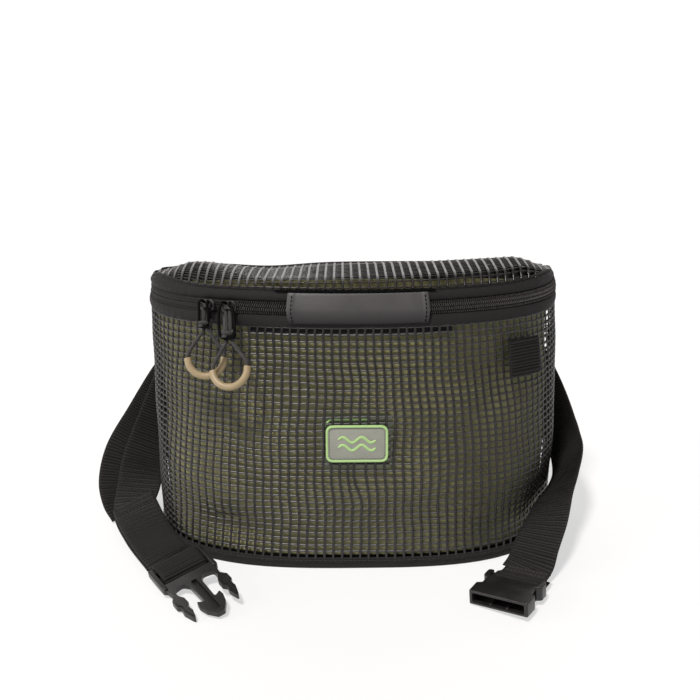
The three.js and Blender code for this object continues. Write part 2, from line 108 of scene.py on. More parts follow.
# Slack of the lid from left to right: place across and lift of its middle.
LID_SLACK_X = (-168.0, -150.0, -120.0, -95.0, -70.0, -45.0, 0.0, 60.0, 120.0, 150.0, 168.0)
LID_SLACK = (0.0, 0.8, 1.4, -1.8, -4.2, -3.0, -0.6, 1.2, 3.4, 4.4, 1.0)
# Height of the lid's net over the band, how far its ends are tucked in, and its half width.
LID_OVER = 1.6
LID_TUCK = 1.5
LID_HALF = 165.0

# Zip pulls: angle on the zip, lean, swing, turn of the grip, length and half width of the hitch.
PULLS = {
    "left": (-38.1, 10.5, 9.5, 25.0, 20.0, 3.6),
    "right": (-30.7, 17.0, 11.5, 0.0, 28.0, 5.6),
}
HINGE_OUT = 5.6
CORD_RADIUS = 1.4
LEG_APART = 1.6
GRIP_RADIUS = 2.8
GRIP_HALF = 14.2
GRIP_DROP = 21.5
GRIP_DEPTH = 14.5

# Webbing: half width, thickness, height of its cross ribs and length of the tail's doubled end.
STRAP_HALF = 19.0
STRAP_THICK = 1.6
RIB_HIGH = 0.42
TAIL_HEM = 13.0
# Straps: stations along each run, the middle of the outer edge and of the inner edge.
STRAPS = {
    "left_strap": (
        ((-176, 78, 130), (-141, 79, 116)), ((-181, 76, 115), (-146, 78, 101)),
        ((-195, 71, 80), (-163, 74, 64)), ((-207, 57, 47), (-178, 54, 31)),
        ((-212, 36, 30), (-175, 28, 22)), ((-213, 4, 11), (-175, 14, 21)),
        ((-195, -36, 7), (-161, -18, 12)), ((-169, -78, 4), (-138, -56, 10)),
    ),
    "left_strap_fold": (
        ((-176, 81, 128), (-144, 82, 107)), ((-183, 80, 120), (-151, 81, 99)),
        ((-207, 78, 82), (-176, 77, 61)), ((-227, 67, 49), (-195, 64, 31)),
        ((-232, 48, 27), (-196, 46, 14)), ((-225, 24, 13), (-190, 32, 6)),
        ((-216, 10, 4), (-183, 26, 4)),
    ),
    "left_strap_tail": (
        ((-212.8, 0, 15.5), (-176.7, 13.5, 28)), ((-194, -37, 12), (-160, -20, 17)),
        ((-170, -77, 8.5), (-139, -55, 14.5)),
    ),
    "right_strap": (
        ((176, 78, 128), (142, 79, 112)), ((187, 73, 106), (155, 79, 88)),
        ((198, 55, 79), (172, 71, 55)), ((199, 36, 70), (177, 48, 42)),
        ((195, 8, 66), (174, 20, 39)), ((186, -18, 58), (165, 0, 35)),
        ((178, -40, 49), (151, -20, 31)), ((170, -64, 36), (138, -44, 27)),
        ((160, -82, 22), (128, -62, 20)), ((156, -88, 11), (122, -72, 11)),
        ((149, -95, 6), (115, -83, 6)),
    ),
}

# Sewn ends of the straps on the back panel: outer and inner edge.
STRAP_ENDS = {
    "left_strap": ((-167, 69.5, 156), (-132, 74.2, 142)),
    "left_strap_fold": ((-164, 76.2, 144), (-132, 79.6, 123)),
    "right_strap": ((162, 70.6, 154), (128, 74.4, 138)),
}

# Places of the buckle halves: origin, then turn about Z, pitch about X and roll about Y in degrees.
MALE_PLACE = ((-147.4, -74.5, 12.1), 215.0, -5.0, 10.0)
FEMALE_PLACE = ((125.5, -103.5, 2.4), 147.0, 0.6, 5.0)

# Camera of the photograph: place in metres, turns in degrees, focal length and sensor in millimetres.
CAMERA_PLACE = (-0.0105, -0.81867, 0.46712)
CAMERA_YAW = 0.4
CAMERA_PITCH = 20.3
CAMERA_ROLL = -0.25
CAMERA_LENS = 54.617
CAMERA_SENSOR = 36.0
WARM_WHITE = (1.0, 0.965, 0.95, 1.0)
WORLD_STRENGTH = 0.3
# Lights: the way that the light travels, its spread in degrees and its strength. The main light comes
# from above, a little from the front and left. A broad white backdrop and a left light fill in.
LIGHTS = (
    ("Main light", (0.28, 0.42, -1.0), 10.0, 3.3),
    ("Backdrop light", (0.0, -1.0, -0.45), 70.0, 1.25),
    ("Left light", (1.0, 0.2, -0.3), 40.0, 1.1),
)
# Turn that stands up a plate drawn flat, with its face to the front.
STAND = Matrix.Rotation(math.radians(90.0), 4, "X")


def linear(code):
    """Linear RGBA of an sRGB hex colour."""
    parts = [int(code[k:k + 2], 16) / 255 for k in (1, 3, 5)]
    return tuple(c / 12.92 if c <= 0.04045 else ((c + 0.055) / 1.055) ** 2.4 for c in parts) + (1.0,)


def smooth_step(value, low, high):
    share = np.clip((value - low) / (high - low), 0.0, 1.0)
    return share * share * (3.0 - 2.0 * share)


def unit(vectors):
    return vectors / np.linalg.norm(vectors, axis=-1, keepdims=True)


# Surfaces of the pouch

def band_drop(angle, z):
    turn = np.abs(angle)
    side = np.where(angle < 0, *SIDE_DROP) * smooth_step(turn, 15.0, SIDE_ANGLE)
    back = smooth_step(turn, SIDE_ANGLE, SEAM_ANGLE)
    return (side + (BACK_DROP - side) * back) * smooth_step(z, 90.0, BAND_LOW)


def end_lift(angle):
    turn = np.abs(angle)
    rise = np.where(angle < 0, *END_LIFT) * smooth_step(turn, 40.0, 66.0)
    rise = rise * (1.0 - smooth_step(turn, 70.0, 86.0))
    fall = np.where(angle < 0, *END_FALL) * smooth_step(turn, 70.0, 92.0)
    return rise - fall * (1.0 - FALL_BACK * smooth_step(turn, 104.0, 126.0))


def edge_dip(x):
    middle, reach, deep = EDGE_DIP
    return deep * np.exp(-(((x - middle) / reach) ** 2))


def back_fall(x, z):
    """How far the back's upper corners and its hollow hang below its edge."""
    corners = (1.0 - FALL_BACK) * np.where(x < 0, *END_FALL) * smooth_step(np.abs(x), 132.0, 166.0)
    return (corners + edge_dip(x)) * smooth_step(z, 150.0, BAND_HIGH)


def hollow(angle, z, row):
    """Depth of one soft hollow of the wall, from a row such as those of DENTS."""
    middle, level, reach_angle, reach_z, deep = row
    return deep * np.exp(-(((angle - middle) / reach_angle) ** 2 + ((z - level) / reach_z) ** 2))


def slack(angle, z):
    """Small soft waves of the slack net and liner, away from the seams."""
    waves = 0.3 * np.sin(0.23 * angle + 0.051 * z) + 0.3 * np.sin(0.11 * angle - 0.087 * z + 1.3)
    waves = waves + 0.15 * np.sin(0.41 * angle + 0.03 * z + 0.4)
    waves = waves * smooth_step(z, 12.0, 45.0) * (1.0 - smooth_step(z, 165.0, 197.0))
    return waves - 0.55 * hollow(angle, z, CREASE)


def drift(angle, z):
    """Where the slack net's knots have slid to on the wall, as an angle and a height."""
    free = smooth_step(z, 12.0, 45.0) * (1.0 - smooth_step(z, 160.0, 195.0))
    sag = 0.5 * np.sin(0.1 * angle + 0.06 * z) + 0.4 * np.sin(0.21 * angle - 0.05 * z + 0.7)
    for row in SAGS:
        sag = sag - hollow(angle, z, row)
    shift = 0.2 * np.sin(0.055 * z + 0.09 * angle) + 0.12 * np.sin(0.13 * z - 0.2 * angle)
    return angle + shift * free, z + sag * free


def wall(angle, z, inset=0.0, side_inset=None):
    """Points of the outside, moved in by inset, with the angle 0 in front and 90 at the right side."""
    given = (angle, z, inset, inset if side_inset is None else side_inset)
    angle, z, inset, side_inset = np.broadcast_arrays(*(np.asarray(value, float) for value in given))
    columns = (SECTION_HALF, SECTION_FRONT, SECTION_POWER, SECTION_SHIFT)
    half, front, power, shift = (np.interp(z, SECTION_Z, column) for column in columns)
    sine, cosine = np.sin(np.radians(angle)), np.cos(np.radians(angle))
    power = 2.0 / np.where(cosine < 0, BACK_POWER, power)
    dent = sum(hollow(angle, z, row) for row in DENTS)
    depth = np.where(cosine < 0, BACK_DEPTH - inset, inset - front + dent)
    x = (half - side_inset - 0.5 * dent) * np.sign(sine) * np.abs(sine) ** power + shift
    y = WIDEST_Y + depth * np.abs(cosine) ** power
    return np.stack([x, y, z - band_drop(angle, z)], -1)


def outward(angle, z):
    along = wall(angle + 0.5, z) - wall(angle - 0.5, z)
    up = wall(angle, z + 1.0) - wall(angle, z - 1.0)
    return unit(np.cross(along, up))


def run_along(points):
    """How far along a run of points each one lies."""
    steps = np.linalg.norm(np.diff(points, axis=0), axis=1)
    return np.concatenate([[0.0], np.cumsum(steps)])


def at_spots(spots, run, values):
    """Values of three columns, known along a run, at other spots on it."""
    return np.stack([np.interp(spots, run, values[:, k]) for k in range(3)], -1)


def outline(z):
    """Fine angles round the pouch at a height, and their millimetres from the front middle."""
    fine = np.linspace(-180.0, 180.0, 2881)
    run = run_along(wall(fine, z))
    return fine, run - np.interp(0.0, fine, run)


def strand_angles(levels, across):
    """Angles of the net's upright strands at each level, spread evenly from seam to seam."""
    fine, run = outline(NET_LEVEL)
    full = np.interp(SEAM_ANGLE, fine, run)
    spots = NET_FIRST + across * np.arange(-60, 61)
    spots = spots[np.abs(spots) < full] / full
    rows = []
    for level in levels:
        fine, run = outline(level)
        rows.append(np.interp(spots * np.interp(SEAM_ANGLE, fine, run), run, fine))
    return np.array(rows)


def even_angles(z, first, last, count):
    """Angles between two others that cut the outline at height z into equal lengths."""
    fine = np.linspace(first, last, 1441)
    run = run_along(wall(fine, z))
    return np.interp(np.linspace(0.0, run[-1], count), run, fine)


def wall_place(angle, z, out):
    """Matrix on the wall, in millimetres: X along the wall, -Y out of it and Z up its slope."""
    along = unit(wall(angle + 1.0, z) - wall(angle - 1.0, z))
    up = unit(wall(angle, z + 1.0) - wall(angle, z - 1.0))
    inward = unit(np.cross(up, along))
    up = np.cross(along, inward)
    place = Matrix.Identity(4)
    for column, axis in enumerate((along, inward, up, wall(angle, z) - out * inward)):
        for row in range(3):
            place[row][column] = axis[row]
    return place


def placed(place, points):
    """Points moved by a matrix."""
    return np.array([place @ Vector(point) for point in points])


def lid(x, share):
    """Points of the lid's net over its width and from its front seam (0) to its back edge (1)."""
    x, share = np.broadcast_arrays(np.asarray(x, float), np.asarray(share, float))
    half, front, power, shift = SECTION_HALF[-1], SECTION_FRONT[-1], SECTION_POWER[-1], SECTION_SHIFT[-1]
    reach = np.clip(np.abs(x) / half, 0.0, 1.0)
    near = WIDEST_Y - front * (1.0 - reach ** power) ** (1.0 / power)
    far = WIDEST_Y + BACK_DEPTH * (1.0 - reach ** BACK_POWER) ** (1.0 / BACK_POWER)
    angle = np.sign(x) * np.degrees(np.arcsin(reach ** (power / 2)))
    back_angle = np.sign(x) * (180.0 - np.degrees(np.arcsin(reach ** (BACK_POWER / 2))))
    front_drop, back_drop = band_drop(angle, BAND_HIGH), band_drop(back_angle, BAND_HIGH)
    lift = end_lift(angle) * (1.0 - smooth_step(share, 0.02, 0.4))
    rise, dome = (np.interp(share, LID_SHARE, column) for column in (LID_RISE, LID_DOME))
    rise = dome + (rise - dome) * smooth_step(x, -115.0, -55.0)
    middle = rise - front_drop * (1.0 - share) + lift
    ends = np.maximum(rise, 0.0) * 0.5 - front_drop * (1.0 - share) - back_drop * share
    ends = ends - np.where(x < 0, *END_FALL) * (1.0 - FALL_BACK * share)
    middle = middle + (ends - middle) * smooth_step(reach / 0.985, 0.8, 1.0)
    middle = middle + np.interp(x, LID_SLACK_X, LID_SLACK) * np.sin(np.pi * share)
    middle = middle - LID_TUCK * smooth_step(reach, 0.95, 0.985)
    middle = middle - edge_dip(x) * smooth_step(share, 0.3, 1.0)
    return np.stack([x + shift, near + (far - near) * share, BAND_HIGH + LID_OVER + middle], -1)


def curve_through(points, shares):
    """Centripetal curve through the points at the given shares of its run of points."""
    points = np.asarray(points, float)
    last = len(points) - 1
    ends = np.concatenate([[2 * points[0] - points[1]], points, [2 * points[-1] - points[-2]]])
    whole = np.clip(np.floor(shares * last).astype(int), 0, last - 1)
    part = (shares * last - whole)[:, None]
    p0, p1, p2, p3 = (ends[whole + k] for k in range(4))
    pairs = ((p0, p1), (p1, p2), (p2, p3))
    gaps = [np.maximum(np.linalg.norm(b - a, axis=1, keepdims=True) ** 0.5, 1e-3) for a, b in pairs]
    t1 = ((p1 - p0) / gaps[0] - (p2 - p0) / (gaps[0] + gaps[1]) + (p2 - p1) / gaps[1]) * gaps[1]
    t2 = ((p2 - p1) / gaps[1] - (p3 - p1) / (gaps[1] + gaps[2]) + (p3 - p2) / gaps[2]) * gaps[1]
    cube = 2 * p1 - 2 * p2 + t1 + t2
    square = -3 * p1 + 3 * p2 - 2 * t1 - t2
    return p1 + t1 * part + square * part ** 2 + cube * part ** 3


def spaced(points, step):
    """Points of a fine run, resampled at an even step, and how far along it they lie."""
    run = run_along(points)
    spots = np.linspace(0.0, run[-1], max(3, int(round(run[-1] / step)) + 1))
    return at_spots(spots, run, points), spots


# Meshes

def new_piece(name, mesh, material, nodes=()):
    """A piece of the pouch that rides on its body, takes its finish and hides the CAD nodes that it stands
    for.
    """
    piece = bpy.data.objects.new(name, mesh)
    bpy.context.collection.objects.link(piece)
    return own_piece(piece, material, nodes)


def own_piece(piece, material, nodes=()):
    piece.data.materials.clear()
    piece.data.materials.append(material)
    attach(piece, "root")
    if nodes:
        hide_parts(*nodes)
    return piece


def tubes(name, rings, material, nodes=(), looped=False, sharp=60.0):
    """One mesh of closed tubes, from rings[tube, station, corner] in millimetres, with UVs in metres."""
    rings = np.asarray(rings, float) * MM
    count, stations, corners, _ = rings.shape
    index = np.arange(count * stations * corners).reshape(count, stations, corners)
    here = index if looped else index[:, :-1]
    there = np.roll(index, -1, 1) if looped else index[:, 1:]
    quads = np.stack([here, there, np.roll(there, -1, 2), np.roll(here, -1, 2)], -1)
    closed = np.concatenate([rings, rings[:, :1]], 1) if looped else rings
    middles = closed.mean(2)
    along = np.concatenate(
        [np.zeros((count, 1)), np.cumsum(np.linalg.norm(np.diff(middles, axis=1), axis=2), 1)], 1)
    middle_ring = rings[:, stations // 2]
    sides = np.linalg.norm(np.roll(middle_ring, -1, 1) - middle_ring, axis=2)
    around = np.concatenate([np.zeros((count, 1)), np.cumsum(sides, 1)], 1)
    shape = quads.shape[:3]
    u0 = np.broadcast_to(around[:, None, :-1], shape)
    u1 = np.broadcast_to(around[:, None, 1:], shape)
    v0 = np.broadcast_to(along[:, :-1, None], shape)
    v1 = np.broadcast_to(along[:, 1:, None], shape)
    uvs = np.stack([u0, v0, u0, v1, u1, v1, u1, v0], -1).reshape(-1)
    quads = quads.reshape(-1, 4)
    flat = rings.reshape(-1, 3)
    a, b, c, d = (flat[quads[:, k]] for k in range(4))
    volume = (np.cross(b - a, c - a) * a).sum() + (np.cross(c - a, d - a) * a).sum()
    faces = quads.tolist()
    if not looped:
        caps = np.concatenate([index[:, 0], index[:, -1, ::-1]])
        faces += caps.tolist()
        cap_u = np.broadcast_to(around[:, :-1], (count, corners))
        first = np.stack([cap_u, np.broadcast_to(along[:, :1], cap_u.shape)], -1)
        last = np.stack([cap_u[:, ::-1], np.broadcast_to(along[:, -1:], cap_u.shape)], -1)
        uvs = np.concatenate([uvs, first.reshape(-1), last.reshape(-1)])
    mesh = bpy.data.meshes.new(name)
    mesh.from_pydata(flat.tolist(), [], faces)
    mesh.uv_layers.new(name="UVMap").uv.foreach_set("vector", uvs)
    if volume < 0:
        mesh.flip_normals()
    mesh.polygons.foreach_set("use_smooth", np.ones(len(faces), bool))
    mesh.set_sharp_from_angle(angle=math.radians(sharp))
    mesh.update()
    return new_piece(name, mesh, material, nodes)


def strand_rings(centres, outs, half_wide, half_thick, corners=6):
    """Rings of strands along their centres[strand, station], with their flat side facing outs."""
    centres = np.asarray(centres, float)
    tangent = unit(np.gradient(centres, axis=1))
    side = unit(np.cross(tangent, outs))
    out = np.cross(side, tangent)
    wide = np.broadcast_to(np.asarray(half_wide, float), centres.shape[:2])[..., None]
    thick = np.broadcast_to(np.asarray(half_thick, float), centres.shape[:2])[..., None]
    turns = 2 * np.pi * (np.arange(corners) + 0.5) / corners
    return np.stack([centres + side * wide * math.cos(t) + out * thick * math.sin(t) for t in turns], 2)


def strip_profile(low, high, thick, crown=0.0, steps=6):
    """Closed profile of a cloth strip with rounded edges: heights and depths under its outer face."""
    edge = min(thick, high - low) / 2
    share = np.linspace(0.0, 1.0, steps)
    face = low + edge + (high - low - 2 * edge) * share
    swell = -crown * (1.0 - (2 * share - 1.0) ** 2)
    arc = np.linspace(0.0, np.pi, 6)[1:-1]
    z = np.concatenate([face, high - edge + edge * np.sin(arc), face[::-1], low + edge - edge * np.sin(arc)])
    bend = thick / 2 * (1.0 - np.cos(arc))
    depth = np.concatenate([swell, bend, (thick + swell)[::-1], bend[::-1]])
    return z, depth


def stitches(name, path, outs, material, length=2.8, pitch=4.0, radius=0.32, slot="black_cloth"):
    """A row of stitches along a fine path in millimetres, with one way out for all or one for each point."""
    outs = np.broadcast_to(np.asarray(outs, float), np.shape(path))
    points, spots = spaced(path, 0.25)
    starts = np.arange(0.6, spots[-1] - length, pitch)
    place = starts[:, None] + length * np.array([0.0, 0.2, 0.5, 0.8, 1.0])
    centres = at_spots(place, spots, points)
    facing = unit(at_spots(place, run_along(path), outs))
    # Each stitch stands proud of the cloth and dips into it at its two ends.
    lift = np.array([-0.25, 0.12, 0.22, 0.12, -0.25])[None, :, None]
    return tubes(name, strand_rings(centres + facing * lift, facing, radius, radius * 0.8, 5), material)


def fillet(points, radius, steps=4):
    """A closed outline with its corners rounded, radius in millimetres or one for each corner."""
    points = [np.asarray(p, float) for p in points]
    radii = radius if hasattr(radius, "__len__") else [radius] * len(points)
    out = []
    for k, corner in enumerate(points):
        before, after = points[k - 1], points[(k + 1) % len(points)]
        a, b = unit(before - corner), unit(after - corner)
        half = math.acos(max(-1.0, min(1.0, float(a @ b)))) / 2
        reach = min(radii[k] / max(math.tan(half), 1e-3),
                    0.48 * np.linalg.norm(before - corner), 0.48 * np.linalg.norm(after - corner))
        start, end = corner + a * reach, corner + b * reach
        for share in np.linspace(0.0, 1.0, steps + 1):
            out.append((1 - share) ** 2 * start + 2 * share * (1 - share) * corner + share ** 2 * end)
    return out


def box(half, low, high, corner, steps):
    """A rounded rectangle across the middle, from one height to another."""
    return fillet([(-half, low), (half, low), (half, high), (-half, high)], corner, steps)


def rounded_box(width, height, corner, steps=5):
    return box(width / 2, -height / 2, height / 2, corner, steps)


def on_side(sign, points, corner, steps):
    """A rounded outline on the left (-1) or the right (1), which runs the same way round on both."""
    shape = fillet([(sign * x, y) for x, y in points], corner, steps)
    return shape if sign > 0 else shape[::-1]


def activate(piece):
    bpy.ops.object.select_all(action="DESELECT")
    piece.select_set(True)
    bpy.context.view_layer.objects.active = piece


def prism(name, shape, low, high):
    """A plate of a closed shape in millimetres, drawn as one face in edit mode and pulled up by extrusion."""
    mesh = bpy.data.meshes.new(name)
    mesh.from_pydata([(x, y, low) for x, y in shape], [], [tuple(range(len(shape)))])
    piece = bpy.data.objects.new(name, mesh)
    bpy.context.collection.objects.link(piece)
    activate(piece)
    bpy.ops.object.mode_set(mode="EDIT")
    bpy.ops.mesh.select_all(action="SELECT")
    bpy.ops.mesh.extrude_region_move(TRANSFORM_OT_translate={"value": (0.0, 0.0, high - low)})
    bpy.ops.mesh.select_all(action="SELECT")
    bpy.ops.mesh.normals_make_consistent(inside=False)
    bpy.ops.object.mode_set(mode="OBJECT")
    return piece


def carve(piece, other, operation="DIFFERENCE"):
    """Cuts another shape out of a piece, or joins it on, and takes the other shape away."""
    activate(piece)
    bpy.ops.object.modifier_add(type="BOOLEAN")
    cut = piece.modifiers[-1]
    cut.operation = operation
    cut.solver = "EXACT"
    cut.object = other
    bpy.ops.object.modifier_apply(modifier=cut.name)
    bpy.data.objects.remove(other)
    return piece


def soften(piece, width, segments=2, angle=35.0):
    """Rounds the hard edges of a piece, as a mould or a tumbling drum does."""
    activate(piece)
    bpy.ops.object.modifier_add(type="BEVEL")
    bevel = piece.modifiers[-1]
    bevel.width = width
    bevel.segments = segments
    bevel.limit_method = "ANGLE"
    bevel.angle_limit = math.radians(angle)
    bevel.use_clamp_overlap = True
    bpy.ops.object.modifier_apply(modifier=bevel.name)
    return piece


def settle(piece, place, material, nodes=()):
    """Puts a piece made in millimetres in its place, shades it and gives it its finish."""
    piece.data.transform(Matrix.Scale(MM, 4) @ place)
    activate(piece)
    bpy.ops.object.shade_smooth_by_angle(angle=math.radians(32.0))
    return own_piece(piece, material, nodes)


def buckle_place(at, turn, pitch, roll):
    place = Matrix.Translation(at)
    for angle, axis in ((turn, "Z"), (pitch, "X"), (roll, "Y")):
        place = place @ Matrix.Rotation(math.radians(angle), 4, axis)
    return place


# Materials

def node(tree, kind, inputs=None, **settings):
    """Adds a node with its settings, and fills its inputs with values or links."""
    made = tree.nodes.new(kind)
    for key, value in settings.items():
        setattr(made, key, value)
    for key, value in (inputs or {}).items():
        if isinstance(value, bpy.types.NodeSocket):
            tree.links.new(value, made.inputs[key])
        else:
            made.inputs[key].default_value = value
    return made


def new_material(name, **sockets):
    """A new material with constants set on its shader's own sockets."""
    material = bpy.data.materials.new(name)
    material.use_nodes = True
    shader = material.node_tree.nodes["Principled BSDF"]
    for key, value in sockets.items():
        shader.inputs[key.replace("_", " ")].default_value = value
    return material, material.node_tree, shader


def blend(tree, share, low, high):
    """A colour between two others, by a share from 0 to 1."""
    mix = node(tree, "ShaderNodeMix", {"Factor": share, 6: low, 7: high}, data_type="RGBA")
    return mix.outputs[2]


def mottle(tree, shader, dark, light, size, low, high, detail=3.0):
    """Colour and roughness that wander between two values over patches of a size in millimetres."""
    place = node(tree, "ShaderNodeTexCoord").outputs["Object"]
    cloud = node(tree, "ShaderNodeTexNoise", {"Vector": place, "Scale": 1.0 / (size * MM), "Detail": detail})
    colour = blend(tree, cloud.outputs["Fac"], dark, light)
    tree.links.new(colour, shader.inputs["Base Color"])
    rough = node(tree, "ShaderNodeMapRange", {"Value": cloud.outputs["Fac"], "From Min": 0.3, "From Max": 0.7,
                                              "To Min": low, "To Max": high})
    tree.links.new(rough.outputs["Result"], shader.inputs["Roughness"])
    return colour


def ripples(tree, spacing, axis, phase=0.0):
    """Even ripples along an axis of the UV map, from their spacing in millimetres."""
    place = node(tree, "ShaderNodeTexCoord").outputs["UV"]
    inputs = {"Vector": place, "Scale": math.pi / (10 * spacing * MM), "Phase Offset": phase}
    return node(tree, "ShaderNodeTexWave", inputs, bands_direction=axis).outputs["Fac"]


def weave(tree, across, along):
    """Height of a plain weave on the UV map, from its thread spacing each way in millimetres."""
    warp, weft = ripples(tree, across, "X"), ripples(tree, along, "Y")
    return node(tree, "ShaderNodeMath", {0: warp, 1: weft}, operation="MULTIPLY").outputs[0]


def grain(tree, size, detail):
    """Height of a fine rough skin, from the size of its grain in millimetres."""
    place = node(tree, "ShaderNodeTexCoord").outputs["Object"]
    inputs = {"Vector": place, "Scale": 1.0 / (size * MM), "Detail": detail}
    return node(tree, "ShaderNodeTexNoise", inputs).outputs["Fac"]


def bump(tree, shader, height, distance, strength=1.0):
    relief = node(tree, "ShaderNodeBump", {"Height": height, "Distance": distance * MM, "Strength": strength})
    tree.links.new(relief.outputs["Normal"], shader.inputs["Normal"])


def coated_net(name, colours, index, gloss, rough):
    # PVC coating dipped over polyester yarn: dark, glossy where it pooled, with short bright glints.
    material, tree, shader = new_material(name, IOR=index, Specular_IOR_Level=gloss)
    mottle(tree, shader, tuple(colours.net), linear("#242120"), 6.0, rough, rough + 0.14)
    bump(tree, shader, grain(tree, 1.6, 2.0), 0.1)
    return material


def olive_cloth(colours):
    # Plain woven nylon with a thin coating: dull, olive, a fine even weave and faint marks from folding.
    material, tree, shader = new_material(
        "Olive woven nylon", Sheen_Weight=0.15, Sheen_Roughness=0.5, IOR=1.5)
    mottle(tree, shader, tuple(colours.liner), linear("#8e8b63"), 22.0, 0.62, 0.8)
    # Real threads lie about 0.3 mm apart and are drawn at 1 mm, to show.
    bump(tree, shader, weave(tree, 1.0, 1.0), 0.16)
    return material


def black_cloth(colours):
    # Woven polyester pack cloth: charcoal, dry, with a fine weave that catches a grey bloom.
    material, tree, shader = new_material(
        "Woven polyester", Sheen_Weight=0.03, Sheen_Roughness=0.45, IOR=1.5, Specular_IOR_Level=0.18)
    mottle(tree, shader, tuple(colours.cloth), linear("#292626"), 2.4, 0.58, 0.8, 5.0)
    # Real threads lie about 0.4 mm apart and are drawn at 0.9 mm, to show.
    bump(tree, shader, weave(tree, 0.9, 0.9), 0.22)
    return material


def back_cloth():
    # Heavy plain woven polyester of the back: dry charcoal, a coarse weave and pale rubbed clouds.
    material, tree, shader = new_material(
        "Heavy woven polyester", Sheen_Weight=0.06, Sheen_Roughness=0.5, Specular_IOR_Level=0.2)
    mottle(tree, shader, linear("#262323"), linear("#3d3939"), 14.0, 0.6, 0.85, 6.0)
    # Real threads lie about 0.7 mm apart and are drawn at 1.5 mm, to show.
    bump(tree, shader, weave(tree, 1.5, 1.5), 0.4)
    return material


def coated_cloth(colours):
    # Polyurethane coated cloth: a smooth satin skin that lifts to grey in the light.
    material, tree, shader = new_material("PU coated cloth", IOR=1.5, Specular_IOR_Level=0.36)
    colour = mottle(tree, shader, tuple(colours.flap), linear("#474445"), 17.0, 0.4, 0.56)
    # Painted shade: darker towards the lower edge, where the flap turns in away from the light.
    place = node(tree, "ShaderNodeTexCoord").outputs["Object"]
    height = node(tree, "ShaderNodeSeparateXYZ", {"Vector": place}).outputs["Z"]
    low, high = FLAP_LOW * MM, (FLAP_LOW + 12.0) * MM
    painted_shade_ramp = node(tree, "ShaderNodeMapRange", {"Value": height, "From Min": low, "From Max": high})
    painted_shade_colour = blend(tree, painted_shade_ramp.outputs["Result"], linear("#070606"), colour)
    tree.links.new(painted_shade_colour, shader.inputs["Base Color"])
    bump(tree, shader, grain(tree, 1.8, 4.0), 0.12)
    return material


def webbing_cloth(colours):
    # Polypropylene webbing: heavy warp yarns side by side under cross ribs, black with a dry grey top.
    material, tree, shader = new_material(
        "Polypropylene webbing", Sheen_Weight=0.02, Sheen_Roughness=0.4, IOR=1.49, Specular_IOR_Level=0.2)
    colour = mottle(tree, shader, tuple(colours.webbing), linear("#2a2726"), 9.0, 0.48, 0.66)
    # Painted shade: the colour is darkened in the grooves between the cross ribs.
    rib = bpy.context.scene.pouch_sizes.rib / MM
    painted_groove_shade = blend(tree, ripples(tree, rib, "Y", math.pi / 2), linear("#080707"), colour)
    tree.links.new(painted_groove_shade, shader.inputs["Base Color"])
    # Warp yarns 1.2 mm apart and picks 1 mm apart.
    bump(tree, shader, weave(tree, 1.2, 1.0), 0.2)
    return material


def moulded_acetal(colours):
    # Injection moulded acetal: even black, satin from a spark-eroded mould, a little greyer in patches.
    material, tree, shader = new_material("Moulded acetal", IOR=1.48, Specular_IOR_Level=0.55)
    mottle(tree, shader, tuple(colours.moulded), linear("#1d1b1b"), 11.0, 0.3, 0.42)
    # Spark texture of about 0.2 mm, drawn at 0.7 mm to show.
    bump(tree, shader, grain(tree, 0.7, 2.0), 0.05)
    return material


def lacquered_zinc():
    # Die-cast zinc under black lacquer: dark and glossy, with hard small glints on its rims.
    material, tree, shader = new_material(
        "Lacquered zinc", Metallic=0.35, Coat_Weight=0.6, Coat_Roughness=0.15)
    mottle(tree, shader, linear("#232121"), linear("#3d3a3a"), 5.0, 0.24, 0.4)
    return material


def braided_cord(colours):
    # Braided polyester cord: soft grey-black strands that cross in a fine slanted braid.
    material, tree, shader = new_material(
        "Braided polyester cord", Sheen_Weight=0.12, Sheen_Roughness=0.4, IOR=1.5)
    mottle(tree, shader, tuple(colours.cord), linear("#302d2c"), 4.0, 0.55, 0.75)
    # Braid strands about 0.9 mm apart.
    bump(tree, shader, weave(tree, 0.9, 0.9), 0.25)
    return material


def tan_tube(colours):
    # Extruded PVC tube: milky tan and satin, with faint darker patches from handling.
    material, tree, shader = new_material(
        "Extruded PVC tube", IOR=1.52, Subsurface_Weight=0.12, Subsurface_Scale=0.002)
    mottle(tree, shader, tuple(colours.grip), linear("#9c8b69"), 7.0, 0.38, 0.5)
    return material


def badge_rubber(name, colour, light, rough):
    # Soft PVC patch rubber poured in colours: smooth, satin and a little cloudy.
    material, tree, shader = new_material(
        name, IOR=1.5, Subsurface_Weight=0.1, Subsurface_Scale=0.0015)
    mottle(tree, shader, colour, light, 5.0, rough, rough + 0.12)
    return material


def sewing_thread():
    # Bonded nylon thread: black with a thin waxy shine.
    material, tree, shader = new_material("Bonded nylon thread", IOR=1.53, Specular_IOR_Level=0.15)
    mottle(tree, shader, linear("#2b2828"), linear("#3c3838"), 3.0, 0.6, 0.8)
    return material


def black_yarn():
    # Spun polyester yarn of tapes, overlock seams and hitches: deep black, matt and a little hairy. Its deep
    # black also serves as painted shade in the net's hem, the coil's bed and the flap's seam.
    material, tree, shader = new_material("Black polyester yarn", IOR=1.5, Specular_IOR_Level=0.06)
    mottle(tree, shader, linear("#040404"), linear("#0d0c0c"), 3.0, 0.5, 0.7)
    bump(tree, shader, weave(tree, 0.9, 0.9), 0.2)
    return material


def nylon_coil():
    # Nylon monofilament coil: black, with a small glint on every turn.
    material, tree, shader = new_material("Nylon coil", IOR=1.53)
    mottle(tree, shader, linear("#2e2b2b"), linear("#4a4645"), 3.0, 0.24, 0.36)
    return material


